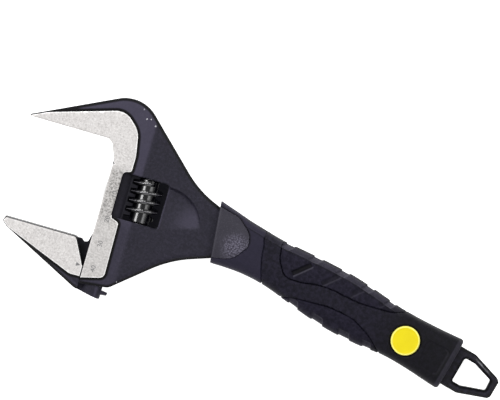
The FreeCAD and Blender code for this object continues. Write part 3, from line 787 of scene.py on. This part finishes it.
def head_lit(points):
    """Painted light on the band beside the ground face and the thumb scoop's lower side, and a painted
    highlight along the window's right edge.
    """
    x, y = points[:, 0], points[:, 1]
    right = np.where(y > WINDOW_TOP, BAND_END, BAND_END + 1.1)
    band = ease((right + 0.6 - x) / 1.2) * ease((-depth(points[:, :2], head_ground) - 0.9) / 0.5)
    band *= 0.5 + 0.5 * ease((y + 34) / 8)
    away = np.hypot(x - 56.5, y + 23.5)
    scoop = 0.8 * ease(depth(points[:, :2], scoop_loop) / 1.2) * ease(1.15 - away / 9)
    right_side = (x > WINDOW_RIGHT) & (y > WINDOW_FOOT) & (y < WINDOW_TOP - 1)
    brim = 0.9 * peak(distance(points[:, :2], head_window), 0.3, 0.35) * right_side
    return np.maximum.reduce([band, scoop, brim])


def head_face(centres, normals):
    """The fixed jaw's gripping face."""
    return (normals[:, 1] < -0.7) & (np.abs(centres[:, 1]) < 0.6) & (centres[:, 0] < GUSSET[0][0])


def no_mask(points):
    """For a mask that a piece doesn't need."""
    return np.zeros(len(points))


mark_ground(head, head_ground, back_edge, head_lit, no_mask)
finish_with(head, [COAT, STEEL, SHADED_FACE_STEEL], ground_or_face(head_ground, head_face))
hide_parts("forged_body")
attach(head, "handle")

# --- sliding jaw -------------------------------------------------------------------------------

JAW = [
    (JAW_LOW[0], -41.9, 0.5),
    (JAW_LOW[0] + 0.8, -OPENING, 0.3),
    (14.4, -OPENING, 1.2),
    (FRONT - 0.2, -50.8, 0.3),
    (FRONT - 0.2, -59.9, 0.3),
    (18, -59.3, 1.5),
    (-13, -43.9, 0.8),
]
JAW_GROUND = [
    (-14.9, -41.8, 0.5),
    (-14.1, -40.4),
    (14.1, -40.4, 1.2),
    (FRONT - 0.5, -50.8),
    (FRONT - 0.5, -54.6),
    (15.5, -54.7, 4),
    (-12.4, -43.9, 0.8),
]
NECK = [
    (12, -40.5),
    (16.5, -40.4, 0.5),
    (17.6, -41.5, 0.6),
    (19, -41, 0.5),
    (19.6, -38.5, 3),
    (FRONT + 0.2, -36, 0.4),
    (ROD_X, -35.8),
    (ROD_X, -61.2),
    (FRONT, -59.9),
    (12, -55.5),
]
jaw_outline = anticlockwise(rounded(JAW))
jaw_ground = anticlockwise(rounded(JAW_GROUND))
jaw_foot = jaw_outline[(jaw_outline[:, 1] < -43.5) & (jaw_outline[:, 0] < FRONT - 0.5)]


def jaw_height(points):
    """Half the sliding jaw's thickness: the black, bevelled along its foot, and the ground face."""
    base = BLACK - 1.2 * np.clip(1 - from_places(points, jaw_foot) / 1.3, 0, 1)
    rise = ground_rise(points, jaw_ground, base, distance(points, jaw_outline))
    return rise - 0.2 * peak(distance(points, jaw_outline), 0, 0.25)


jaw = relief(
    "sliding_jaw_steel",
    jaw_outline,
    jaw_height,
    creases=beside(jaw_ground, (0, *STEP_ROWS)),
)
neck_outline = rounded(NECK)


def neck_height(points):
    """Half the neck's thickness, eased at its rim."""
    return 2.3 - 0.15 * peak(distance(points, neck_outline), 0, 0.3)


neck = relief("jaw_neck", neck_outline, neck_height, spacing=2.5, rings=(0.15, 0.5))
ROD_FOOT, ROD_HEAD = JAW_LOW[1], JAW_HIGH[1]
ROD_PROFILE = [(ROD_RADIUS - 0.5, ROD_FOOT), (ROD_RADIUS, ROD_FOOT + 0.4)]
ROD_PROFILE += [(ROD_RADIUS, ROD_HEAD - 0.4), (ROD_RADIUS - 0.5, ROD_HEAD)]
rod = moved(turned("jaw_rod", ROD_PROFILE, 96), x=ROD_X)
combine(rod, [block("rack_flat", (RACK_ROOT, -80, -9), (RACK_ROOT + 9, 0, 9))], "DIFFERENCE")
TOP_TOOTH = ROD_HEAD - 1.3
TEETH = 14
RACK_HALF = 2.6  # half the rack's width
LEAN = PITCH / (2 * math.pi * (WORM_RADIUS - 1.2))


def rack_bar():
    """A comb of teeth on a bar, sheared so that they lean with the worm's thread."""
    side = [(ROD_X + 1, ROD_HEAD - 0.3)]
    for i in range(TEETH):
        y = TOP_TOOTH - PITCH * i
        side += [(RACK_ROOT, y + 0.8), (RACK_TIP - 0.15, y + 0.5), (RACK_TIP, y + 0.35)]
        side += [(RACK_TIP, y - 0.35), (RACK_TIP - 0.15, y - 0.5), (RACK_ROOT, y - 0.8)]
    side.append((ROD_X + 1, ROD_FOOT + 0.3))
    return prism("jaw_rack", side, -RACK_HALF, RACK_HALF, lambda x: LEAN * (x > RACK_ROOT - 0.1))


def jaw_dark(points):
    """Painted shade on the rod where it lies inside the head, and on the neck in its slot."""
    x, y, z = points.T
    rod_part = 0.62 * ease((x - FRONT) / 0.5) * ease((y + 57.5) / 1.5)
    neck_part = 0.7 * (x > JAW_END + 0.1) * (np.abs(z) < RACK_HALF) * (y > -57)
    return np.maximum(rod_part, neck_part)


def jaw_lit(points):
    """Painted light: a painted glint along the rod's foot, and the bevel under the jaw painted lighter."""
    x, y = points[:, 0], points[:, 1]
    glint = 0.9 * peak(x, 27.2, 0.9) * (y < -58.2)
    bevel = 0.6 * peak(from_places(points[:, :2], jaw_foot), 1.6, 0.6)
    bevel *= ease((-depth(points[:, :2], jaw_ground) - 0.8) / 0.4)
    return np.maximum(glint, bevel)


def jaw_face(centres, normals):
    """The sliding jaw's gripping face."""
    return (normals[:, 1] > 0.7) & (centres[:, 1] > -OPENING - 0.6) & (centres[:, 0] < JAW_END + 0.1)


combine(jaw, [neck, rod, rack_bar()], "UNION")
under_foot = [(FRONT - 0.4, -75), (40, -75), (40, -63.7), (FRONT - 0.4, -59.75)]
foot_cut = prism("foot_cut", under_foot, -9, 9)
combine(jaw, [foot_cut], "DIFFERENCE")
mark_ground(jaw, jaw_ground, jaw_foot, jaw_lit, jaw_dark)
finish_with(jaw, [COAT, STEEL, SHADED_FACE_STEEL], ground_or_face(jaw_ground, jaw_face))
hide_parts("sliding_jaw")
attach(jaw, "jaw")

# --- markings ----------------------------------------------------------------------------------

INK = 0.03  # how far the filled markings stand off a ground face
SCALE_X, SCALE_TOP, POINTER_X = 23.9, -10.4, 17.9


def digits(text, side):
    """One number of the opening scale, read along the strip, on the front (1) or the back (-1)."""
    curve = bpy.data.curves.new(text, "FONT")
    curve.body, curve.size, curve.extrude = text, 2.6 * MM, INK * MM
    curve.align_x = curve.align_y = "CENTER"
    writing = bpy.data.objects.new(text, curve)
    mesh = bpy.data.meshes.new_from_object(writing)
    bpy.data.objects.remove(writing)
    place = Vector((SCALE_X, SCALE_TOP - float(text), side * GROUND)) * MM
    flip = Matrix.Rotation(math.pi if side < 0 else 0, 4, "Y")
    mesh.transform(Matrix.Translation(place) @ flip @ Matrix.Rotation(math.pi / 2, 4, "Z"))
    return mesh


def joined(name, meshes):
    """One piece from several meshes."""
    work = bmesh.new()
    for mesh in meshes:
        work.from_mesh(mesh)
    shape = bpy.data.meshes.new(name)
    work.to_mesh(shape)
    work.free()
    made = bpy.data.objects.new(name, shape)
    bpy.context.scene.collection.objects.link(made)
    return made


def pointer(side):
    """A small wedge on the jaw that points at the scale."""
    y = SCALE_TOP - OPENING
    corners = [(POINTER_X - 0.9, y - 0.8), (POINTER_X + 0.8, y), (POINTER_X - 0.9, y + 0.8)]
    low, high = sorted((side * (GROUND - INK), side * (GROUND + INK)))
    made = prism("pointer", corners, low, high)
    mesh = made.data
    bpy.data.objects.remove(made)
    return mesh


scale = joined("opening_scale", [digits(str(gap), side) for gap in range(10, 41, 10) for side in (1, -1)])
for made, body in ((scale, "handle"), (joined("scale_pointer", [pointer(1), pointer(-1)]), "jaw")):
    finish_with(made, [MARKING])
    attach(made, body)

# --- worm --------------------------------------------------------------------------------------


def worm_thread():
    """The thread, swept round the core, with a notch cut across its crest at every knurl."""
    start, turns, per_turn = TOP_TOOTH - 4 * PITCH, 3.86, 168
    knurls, knurl_depth = 24, 0.05
    profile = [(WORM_CORE - 0.3, -0.95), (WORM_CORE, -0.95), (WORM_RADIUS - 0.25, -0.68)]
    profile += [(WORM_RADIUS - 0.08, -0.32), (WORM_RADIUS, 0), (WORM_RADIUS - 0.08, 0.32)]
    profile += [(WORM_RADIUS - 0.25, 0.68), (WORM_CORE, 0.95), (WORM_CORE - 0.3, 0.95)]
    rows = int(turns * per_turn)
    points, crest = [], []
    for i in range(rows + 1):
        angle = 2 * math.pi * i / per_turn
        ends = min(1.0, i / 14, (rows - i) / 14)
        notch = max(0.0, math.cos(angle * knurls)) ** 2 * knurl_depth
        for r, y in profile:
            out = max(r - WORM_CORE, 0) / (WORM_RADIUS - WORM_CORE)
            radius = min(r, WORM_CORE) + max(r - WORM_CORE, 0) * (0.15 + 0.85 * ends) - notch * out**3
            rise = start + y + PITCH * i / per_turn
            points.append((radius * math.cos(angle), rise, -radius * math.sin(angle)))
            # The crest line's mask, for its painted highlight.
            crest.append((y == 0) * (1 - notch) * ends)
    count = len(profile)
    faces = [range(count), range(rows * count, (rows + 1) * count)[::-1]]
    for i in range(rows):
        for j in range(count):
            k = (j + 1) % count
            faces.append((i * count + k, i * count + j, (i + 1) * count + j, (i + 1) * count + k))
    made = make_object("worm_thread", points, faces, sharp=40)
    add_mask(made, "crest", crest)
    return made


def worm_core():
    """The worm's barrel, bored for its pin and for the spring at its upper end."""
    low, high = WORM_LOW[1], WORM_HIGH[1]
    profile = [(WORM_CORE - 0.4, low), (WORM_CORE, low + 0.35), (WORM_CORE, low + 1.4)]
    profile += [(WORM_CORE, low + 1.6), (WORM_CORE, high - 0.35), (WORM_CORE - 0.4, high)]
    made = turned("worm_core", profile, 96)
    # The barrel's ends get the painted highlight too.
    add_mask(made, "crest", np.repeat([0.3, 0.55, 0.55, 0, 0, 0.3], 96))
    bore = turned("worm_bore", [(1.96, low - 2), (1.96, high + 2)], 48)
    pocket = turned("spring_pocket", [(2.9, high - 4), (2.9, high + 2)], 48)
    return combine(made, [bore, pocket], "DIFFERENCE")


worm = combine(worm_core(), [worm_thread()], "UNION")
worm.name = "worm_wheel"
moved(worm, x=WORM_X)
finish_with(worm, [WORM_FINISH])
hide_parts("worm")
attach(worm, "worm")

for node, material in (("worm_pin", PIN_STEEL), ("worm_spring", SPRING_STEEL)):
    finish_with(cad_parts[node], [material])

# --- grip --------------------------------------------------------------------------------------

TOP_EDGE = [
    (-6, 11.7), (0, 11.2), (5, 10.9), (15, 10.6), (25, 10.5), (30, 10.9), (45, 12), (55, 12.3), (60, 12.1),
    (70, 11.3), (80, 10.4), (90, 10.6), (100, 11.3), (106, 11.9),
]
LOW_EDGE = [
    (-6, -13.5), (4.2, -11.5), (10, -10.2), (15, -9.3), (25, -8.7), (35, -9.5), (47, -10.8), (57, -11.2),
    (70, -10.4), (80, -9.1), (90, -9.1), (100, -9.7), (106, -10.0),
]
THICK = [(-6, 6.3), (4, 6.6), (20, 7.15), (56, 7.68), (83, 7.2), (106, 6.9)]


def smooth_curve(table, x):
    """A curve through the table's points, with slopes from their neighbours."""
    px, py = np.array(table, float).T
    slope = np.gradient(py, px)
    i = np.clip(np.searchsorted(px, x) - 1, 0, len(px) - 2)
    width = px[i + 1] - px[i]
    t = (x - px[i]) / width
    return (
        (1 + 2 * t) * (1 - t) ** 2 * py[i]
        + t * (1 - t) ** 2 * width * slope[i]
        + t * t * (3 - 2 * t) * py[i + 1]
        + t * t * (t - 1) * width * slope[i + 1]
    )


FRONT_U, FRONT_LEAN = -0.5, math.tan(math.radians(19.4))
SQUARENESS = 3.4
ROUND_END = 1.1
END_SHARE = 0.012  # share of the grip's length in which its end rounds off


GRIP_STEP = 0.3


def grip_rows():
    """Places along the grip, from 0 to 1, closer together where its ends are rounded."""
    front = np.array([0, 0.0015, 0.004])
    inner = np.linspace(0.0075, 1 - END_SHARE, int(GRIP_LENGTH / GRIP_STEP))
    back = 1 - END_SHARE * (1 - np.sin(np.linspace(0.15, 1, 9) * math.pi / 2))
    return np.concatenate([front, inner, back])


def grip_surface(rows, around, inset=0.0):
    """Points (u, v, z) of the grip's skin, moved in by inset, for each row and each place around."""
    angle = np.linspace(0, 2 * math.pi, 721)
    power = 2 / SQUARENESS
    unit_v = np.sign(np.cos(angle)) * np.abs(np.cos(angle)) ** power
    unit_z = np.sign(np.sin(angle)) * np.abs(np.sin(angle)) ** power
    mean_wide, mean_deep = 10.4, 7.3
    run = np.hypot(np.diff(unit_v * mean_wide), np.diff(unit_z * mean_deep))
    run = np.concatenate([[0], np.cumsum(run)])
    shares = np.linspace(0, run[-1], around, endpoint=False)
    unit_v, unit_z = np.interp(shares, run, unit_v), np.interp(shares, run, unit_z)
    end = np.clip((1 - rows) / END_SHARE, 0, 1)
    shrink = ROUND_END * (1 - np.sqrt(np.clip(1 - (1 - end) ** 2, 0, 1)))
    shrink += 0.2 * np.clip(1 - rows / 0.0075, 0, 1) ** 2
    guess = np.zeros((len(rows), around))
    for _ in range(3):
        front = FRONT_U - (guess - 0.7) * FRONT_LEAN
        u = front + rows[:, None] * (GRIP_LENGTH - front)
        top, low = smooth_curve(TOP_EDGE, u), smooth_curve(LOW_EDGE, u)
        half = (top - low) / 2 - shrink[:, None] - inset
        guess = (top + low) / 2 + unit_v * half
    deep = smooth_curve(THICK, u) - shrink[:, None] - inset
    return np.stack([u, guess, unit_z * deep], axis=-1)


UPPER_PANEL = [
    (24.5, 20), (24.5, 8.5), (26.5, 3.2, 9), (31.5, -2.0, 5), (38.5, -0.4, 12), (46, 2.9, 30),
    (62, 3.9, 40), (75, 7.2, 14), (80, 10.6), (80, 20),
]
LOWER_PANEL = [
    (33, -20), (33, -9.8), (39, -7.0, 20), (52, -3.2, 20), (62, -2.3, 14), (71, -5.0, 18), (79, -9.8),
    (79, -20),
]
THUMB_PAD = [
    (-9, 9.7), (5, 9.6, 6), (11.5, 6.2, 6), (13.9, 1.6, 3.5), (10.5, -6.2, 8), (3, -9.7), (-9, -9.7),
]
SEAM = [(16.4, 12), (17.3, 7.2), (18.5, 5), (20.3, 0), (22.5, -4.5), (25, -8.5), (27, -13)]
END_PANEL = [(91.5, 5.4, 2.5), (102.2, 5.8, 1.8), (102.2, -6.2, 1.8), (93.5, -5.6, 3)]
SLOT_LEAN, SLOT_LONG, SLOT_WIDE = 54, 8.6, 2.0
UPPER_SLOTS = [(33.4, 0.9, 0.8), (45.2, 3.2, 0.4), (57.0, 5.0, 0.28), (68.6, 7.0, 0.22)]  # u, v, depth
LOWER_SLOTS = [(38.6, -2.0, 0.25), (49.6, 1.6, 0.3), (61.2, 2.2, 0.4)]
UPPER_NOTCHES = [(25.8, 29.8), (37.7, 41.8), (49.6, 53.6), (61.2, 65.0), (71.8, 75.2)]
LOWER_NOTCHES = [(37.9, 42.4), (48.7, 54.0), (60.8, 65.8), (71.1, 74.8)]
BAND_WIDE = 2.9  # the edge band along the grip's upper side

upper_loop = anticlockwise(rounded(UPPER_PANEL))
lower_loop = anticlockwise(rounded(LOWER_PANEL))
thumb_loop = anticlockwise(rounded(THUMB_PAD))
BADGE_U, BADGE_V = 84.6, 0.3


def seam_side(flat):
    """How far a point lies behind the collar's seam."""
    seam = np.array(SEAM)[::-1]
    return flat[:, 0] - np.interp(flat[:, 1], seam[:, 1], seam[:, 0])


def carve(flat, slots, lean):
    """Straight slots in a panel: how deep each point lies, and how near the lit edge beside a slot."""
    sunk, lit = np.zeros(len(flat)), np.zeros(len(flat))
    c, s = math.cos(math.radians(lean)), math.sin(math.radians(lean))
    for u, v, deep in slots:
        along = (flat[:, 0] - u) * c + (flat[:, 1] - v) * s
        across = (flat[:, 0] - u) * abs(s) - (flat[:, 1] - v) * c * np.sign(s)
        ends = np.minimum(along, SLOT_LONG - along)
        within = np.minimum(ends, SLOT_WIDE / 2 - np.abs(across))
        sunk = np.maximum(sunk, deep * ease(within / 0.35))
        lit = np.maximum(lit, deep * peak(across, SLOT_WIDE / 2 + 0.15, 0.4) * (ends > 0))
    return sunk, lit


def notched(flat, notches, lean, side):
    """Notches across a side of the grip: how far inside one each point lies, and how near its lit end."""
    slope = 1 / math.tan(math.radians(lean))
    within, end = np.full(len(flat), -9.0), np.full(len(flat), 9.0)
    for start, stop in notches:
        shift = (flat[:, 1] - smooth_curve(side, flat[:, 0])) * slope
        left, right = flat[:, 0] - start - shift, stop - flat[:, 0] + shift
        within = np.maximum(within, np.minimum(left, right))
        end = np.minimum(end, np.abs(right - 0.2))
    return within, end


AROUND = 192
rows = grip_rows()
skin = grip_surface(rows, AROUND)
flat = skin[..., :2].reshape(-1, 2)
along_rows = np.gradient(skin, axis=0)
around_rows = np.gradient(np.concatenate([skin[:, -1:], skin, skin[:, :1]], axis=1), axis=1)[:, 1:-1]
normal = np.cross(around_rows, along_rows)
normal /= np.linalg.norm(normal, axis=-1, keepdims=True)
if (normal[len(rows) // 2, AROUND // 4, 2] < 0) == (skin[len(rows) // 2, AROUND // 4, 2] > 0):
    normal = -normal


def skin_piece(name, wanted, rise, thick, capped=False, **masks):
    """A shell of the grip's skin where wanted is true, raised by rise and closed inside."""
    shape = skin.shape[:2]
    outer = skin + normal * rise.reshape(shape)[..., None]
    inner = grip_surface(rows, AROUND, inset=thick)
    if capped:
        inner[..., 0] = np.minimum(inner[..., 0], GRIP_LENGTH - thick)
    count = len(flat)
    number = np.arange(count).reshape(shape)
    a, b = number[:-1], number[1:]
    quads = np.stack([a, b, np.roll(b, -1, axis=1), np.roll(a, -1, axis=1)], axis=-1).reshape(-1, 4)
    quads = quads[wanted[quads].all(axis=1)]
    faces = [tuple(q) for q in quads] + [tuple(q[::-1] + count) for q in quads]
    once = {}
    for q in quads.tolist():
        for pair in zip(q, q[1:] + q[:1]):
            if once.pop(pair[::-1], None) is None:
                once[pair] = True
    last = (len(rows) - 1) * AROUND
    faces += [(q, p, p + count, q + count) for p, q in once if not (capped and p >= last and q >= last)]
    if capped:
        rim = list(range(last, last + AROUND))
        faces += [tuple(rim), tuple(i + count for i in rim[::-1])]
    points = np.vstack([outer.reshape(-1, 3), inner.reshape(-1, 3)])
    used = np.unique(np.concatenate([np.array(f) for f in faces]))
    renumber = np.zeros(len(points), int)
    renumber[used] = np.arange(len(used))
    made = make_object(name, points[used], [renumber[list(f)] for f in faces], sharp=50)
    for mask, values in masks.items():
        add_mask(made, mask, np.tile(values, 2)[used])
    face_outward(made)
    return to_handle(made)


def face_outward(made):
    """Turns every face of a closed mesh to point out of it."""
    work = bmesh.new()
    work.from_mesh(made.data)
    bmesh.ops.recalc_face_normals(work, faces=work.faces)
    work.to_mesh(made.data)
    work.free()


GAP = 0.15
upper_in, lower_in, thumb_in = depth(flat, upper_loop), depth(flat, lower_loop), depth(flat, thumb_loop)
end_in = depth(flat, anticlockwise(rounded(END_PANEL)))
seam_at = seam_side(flat)
from_badge = np.hypot(flat[:, 0] - BADGE_U, flat[:, 1] - BADGE_V)
side_z = skin[..., 2].reshape(-1)
flank = np.abs(side_z) > 4.0

over_band = flat[:, 1] - smooth_curve(TOP_EDGE, flat[:, 0]) + BAND_WIDE
under_low = smooth_curve(LOW_EDGE, flat[:, 0]) + BAND_WIDE - flat[:, 1]
has_band = ease((flat[:, 0] - 3) / 8) * ease((82 - flat[:, 0]) / 6)
in_band = ease(over_band / 0.5) * has_band
band_rise = -0.28 * in_band
# Painted shade: a dark line at the edge band's lower rim.
band_line = peak(over_band, -0.1, 0.4) * has_band * flank
# Darker towards the grip's end; this also takes away the band's painted light there.
far_end = 0.72 * ease((flat[:, 0] - 66) / 18)
# Painted light on the edge band along the grip's upper side.
band_light = 0.08 + 0.2 * ease((flat[:, 0] - 22) / 4)
grip_lit = band_light * in_band * (1 - far_end)
# Painted shade along the grip's upper brink.
brink = 0.75 * ease((over_band - BAND_WIDE + 0.75) / 0.4) * has_band
grip_dark = np.maximum.reduce([far_end, 0.65 * band_line, brink])

seam_cut = 0.6 * peak(seam_at, 0, 0.36) * (1 - in_band)
from_front = (rows[:, None] + np.zeros(AROUND)).reshape(-1) * GRIP_LENGTH
collar_rise = band_rise - seam_cut - 0.8 * ease(thumb_in / 0.2 + 0.3) * flank
collar_rise -= 0.3 * ease(seam_at / 0.2)
# Painted shadow on the collar beside the thumb pad's upper side.
shadow_side = ease(1 + thumb_in / 0.8) * (thumb_in < 0.1) * ease((flat[:, 1] - 1) / 3)
collar_dark = np.maximum(grip_dark, 0.8 * shadow_side * flank)
collar = skin_piece("collar_shell", seam_at < 0.6, collar_rise, 2.6, lit=grip_lit, dark=collar_dark)

pebbles = 0.06 * np.sin(flat[:, 0] * 4.6) * np.sin(flat[:, 1] * 4.6)
end_cut = 0.25 * ease(end_in / 0.4) + pebbles * ease(end_in / 0.8)
core_rise = band_rise - seam_cut - end_cut * flank
core_rise -= 1.3 * ease((upper_in + GAP * (1 - in_band)) / 0.2) + 1.3 * ease((lower_in + GAP) / 0.2)
core_rise -= 1.0 * ease((6.5 - from_badge) / 0.3) * flank
# Painted light on the grip end's ridge and inside the end panel's rim; painted shade along the panel's
# outline.
ridge = ease((flat[:, 0] - 102.5) / 0.4) * flank
end_light = peak(end_in, 0.7, 0.45) * (flat[:, 0] > 100) * flank
core_lit = grip_lit + 0.3 * ridge + 0.35 * end_light
end_line = 0.95 * peak(end_in, 0, 0.55) * flank
core_dark = np.maximum(grip_dark, end_line) * (1 - 0.5 * ridge)
core = skin_piece("core_shell", seam_at > -0.1, core_rise, 2.6, capped=True, lit=core_lit, dark=core_dark)


def soft_panel(name, within, slots, notches, lean, band):
    """A soft panel with crowned edges, straight slots, and notches through its edge band; painted light by
    notches and slots, painted shade in slots.
    """
    sunk, slot_lit = carve(flat, slots, lean)
    upper_side = lean < 90
    notch, notch_end = notched(flat, notches, lean, TOP_EDGE if upper_side else LOW_EDGE)
    in_notch = ease(notch / 0.4) * ease(band / 0.5)
    sunk = np.maximum(sunk * ease(-band / 0.4), 0.5 * in_notch) * ease(within / 0.6)
    crown = 1 - in_band if upper_side else 1.0
    rise = 0.1 * crown - 0.8 * (1 - ease(within / 0.4)) * crown - sunk
    if upper_side:
        rise += band_rise
    # Painted light at the notches' ends and floors, and beside the slots.
    edge = ease(1 - notch_end / 0.5) * ease(band / 0.3) * (notch > -0.6)
    shine = 1.0 if upper_side else 0.35
    notch_lit = shine * np.maximum(0.5 * in_notch, 0.95 * edge)
    lit = np.maximum.reduce([grip_lit, slot_lit * ease(-band / 0.4), notch_lit])
    # Painted shade in the sunken slots.
    dark = np.maximum(grip_dark * (1 - in_notch), 1.1 * sunk * (1 - in_notch))
    return skin_piece(name, within > 0, rise, 1.7, lit=lit * flank, dark=np.minimum(dark, 0.9))


upper = soft_panel("upper_soft_panel", upper_in, UPPER_SLOTS, UPPER_NOTCHES, SLOT_LEAN, over_band)
lower = soft_panel("lower_soft_panel", lower_in, LOWER_SLOTS, LOWER_NOTCHES, 180 - 62, under_low)

thumb_rise = 0.1 - 0.28 * (1 - ease(thumb_in / 0.3))
towards_tip = ease(1.35 - np.hypot((flat[:, 0] - 9.6) / 5.6, (flat[:, 1] + 1.4) / 5.6))
# Painted light along the pad's front edge.
front_light = 0.2 * peak(from_front, 0.5, 0.4)
thumb_pads = [
    skin_piece(
        f"thumb_inlay_{side}",
        (thumb_in > 0) & (side_z * sign > 3.2),
        thumb_rise,
        0.85,
        tip=towards_tip,
        lit=front_light,
    )
    for side, sign in (("front", 1), ("back", -1))
]


def badge(name, sign):
    """A round plug with a bevelled rim painted paler as a painted highlight, let into the grip's face."""
    top = BADGE_HIGH[2]
    radius = (BADGE_HIGH[0] - BADGE_LOW[0]) / 2
    dome = [(radius - 0.62 - i * 0.95, top - 0.02 - 0.05 * (1 - (i / 5) ** 2)) for i in range(6)]
    profile = [(0.05, 5.9), (radius, 5.9), (radius, top - 0.45), (radius - 0.15, top - 0.2)]
    profile += [(radius - 0.5, top - 0.02), *dome, (0.05, top)]
    made = turned(name, profile, 96)
    made.data.transform(Matrix.Rotation(math.radians(90), 4, "X"))
    if sign < 0:
        made.data.transform(Matrix.Rotation(math.pi, 4, "X"))
    moved(made, BADGE_U, BADGE_V)
    face_outward(made)

    # Faces on the rim get the paler yellow of the painted highlight.
    def choose(centres, normals):
        x, y = from_handle(BADGE_U, BADGE_V)
        return np.hypot(centres[:, 0] - x, centres[:, 1] - y) > radius - 0.6

    return finish_with(to_handle(made), [YELLOW, YELLOW_RIM_HIGHLIGHT], choose)


badges = [badge("badge_disc_front", 1), badge("badge_disc_back", -1)]

LOOP = [
    (100, 8.2), (104, 9.1), (111.5, 9.1, 3), (123.3, 5.3, 2.2), (124.4, 4.2, 0.6), (124.3, -2.3, 1.0),
    (123.5, -3.4, 0.8), (112, -7.5, 3), (104, -7.5), (100, -6.8),
]
LOOP_HOLE = [
    (108.3, 6.0, 1.0), (112.8, 5.9, 1.5), (121.1, 3.3, 0.7), (121.3, -1.1, 0.8), (112, -4.4, 1.5),
    (108.3, -4.4, 0.8),
]
loop_outline, loop_hole = anticlockwise(rounded(LOOP)), anticlockwise(rounded(LOOP_HOLE))


def loop_edge(points):
    """How far each point is from an edge of the hang loop."""
    return np.minimum(distance(points, loop_outline), distance(points, loop_hole))


def loop_height(points):
    """Half the loop's thickness, bevelled at its edges."""
    return 3.0 - 0.75 * np.clip(1 - loop_edge(points) / 0.85, 0, 1)


LOOP_RINGS = (0.2, 0.5, 0.85, 1.2)
loop = relief("hang_loop", loop_outline, loop_height, holes=[loop_hole], spacing=0.7, rings=LOOP_RINGS)
loop_flat = corners_mm(loop)[:, :2]
# Painted highlight: a streak along the upper bar's bevel; painted light on the flat faces, painted shade on
# the bevels.
upper_bar = ease((loop_flat[:, 0] - 111) / 3) * ease((loop_flat[:, 1] - 2) / 2)
highlight_streak = peak(distance(loop_flat, loop_outline), 1.1, 0.35) * upper_bar * ease((121 - loop_flat[:, 0]) / 4)
add_mask(loop, "lit", 0.15 * ease((loop_edge(loop_flat) - 0.8) / 0.4))
add_mask(loop, "shine", 0.5 * highlight_streak)
add_mask(loop, "dark", ease((0.7 - loop_edge(loop_flat)) / 0.3))
to_handle(loop)

GRIP_PIECES = (
    (collar, COLLAR, "grip_collar", "grip_hard"),
    (core, HARD, "grip_core", "grip_hard"),
    (upper, SOFT, "upper_grip_panel", "grip_soft"),
    (lower, SOFT, "lower_grip_panel", "grip_soft"),
    (thumb_pads[0], PEBBLE, "thumb_pad_front", "thumb_pad"),
    (thumb_pads[1], PEBBLE, "thumb_pad_back", "thumb_pad"),
    (badges[0], None, "badge_front", "badge_yellow"),
    (badges[1], None, "badge_back", "badge_yellow"),
    (loop, LOOP_COAT, "forged_body", "black_steel"),
)
for piece, material, node, slot in GRIP_PIECES:
    if material:
        finish_with(piece, [material])
    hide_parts(node)
    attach(piece, "handle")

# --- stage, light and camera -------------------------------------------------------------------


LAMPS = (  # name, place, size, power
    ("key", (-0.25, 0.45, 0.7), 0.5, 4.6),
    ("fill", (0.6, 0.2, 0.6), 0.6, 3),
    ("low", (0.1, -0.7, 0.5), 0.6, 1.5),
    ("strip", (-0.55, 0.0, 0.65), 0.34, 3.2),
)
LIT_PLACE = Vector((0.07, -0.02, 0))
FRAME_WIDTH = 0.1945  # width of the view at the wrench
CAMERA_TURN, CAMERA_TILT, CAMERA_BACK = math.radians(16), math.radians(2), 3.0


def lay_floor():
    """White paper under the wrench, with a painted shadow, nearly black, under the worm's window."""
    bpy.ops.mesh.primitive_plane_add(size=6, location=(0.08, -0.02, cad_low.z))
    floor = bpy.context.object
    floor.name = "floor"
    window_x, window_y = (WINDOW_LEFT + WINDOW_RIGHT) / 2, (WINDOW_TOP + WINDOW_FOOT) / 2
    under = (window_x * MM - floor.location.x, window_y * MM - floor.location.y, 0)
    f = Finish("floor_paper", Emission_Strength=0.85)
    cloud = f.noise(40, 2)
    tone = f.mix(cloud, (0.93, 0.93, 0.93, 1), (0.96, 0.96, 0.96, 1))
    # Painted shadow: the floor's colour and glow are nearly black in a round patch under the worm's window.
    tone = f.mix(f.band(f.away(f.place, under), 0.0125, 0.0165), (0.006, 0.006, 0.008, 1), tone)
    floor.data.materials.append(f.give(Base_Color=tone, Emission_Color=tone, Roughness=0.8 + cloud * 0.1))


def light_scene():
    """A pale sky and four square lamps."""
    world = bpy.data.worlds.new("studio")
    bpy.context.scene.world = world
    world.use_nodes = True
    sky = world.node_tree.nodes["Background"]
    sky.inputs[0].default_value, sky.inputs[1].default_value = (1, 1, 1, 1), 0.3
    for name, place, size, power in LAMPS:
        light = bpy.data.lights.new(name, "AREA")
        light.size, light.energy = size, power
        lamp = bpy.data.objects.new(name, light)
        bpy.context.scene.collection.objects.link(lamp)
        lamp.location = place
        lamp.rotation_euler = (LIT_PLACE - Vector(place)).to_track_quat("-Z", "Y").to_euler()


def set_camera():
    """Looks straight down on the wide face, turned and slightly tilted."""
    right = Vector((math.cos(CAMERA_TURN), math.sin(CAMERA_TURN), 0))
    up = Vector((-math.sin(CAMERA_TURN), math.cos(CAMERA_TURN), 0))
    target = right * 0.0700 - up * 0.02855
    away = (Vector((0, 0, math.cos(CAMERA_TILT))) + up * math.sin(CAMERA_TILT)).normalized()
    data = bpy.data.cameras.new("camera")
    data.lens = data.sensor_width * CAMERA_BACK / FRAME_WIDTH
    camera = bpy.data.objects.new("camera", data)
    bpy.context.scene.collection.objects.link(camera)
    turned_axes = Matrix((right, away.cross(right), away)).transposed().to_4x4()
    camera.matrix_world = Matrix.Translation(target + away * CAMERA_BACK) @ turned_axes
    bpy.context.scene.camera = camera


lay_floor()
light_scene()
set_camera()
bpy.context.scene.view_settings.view_transform = "Standard"
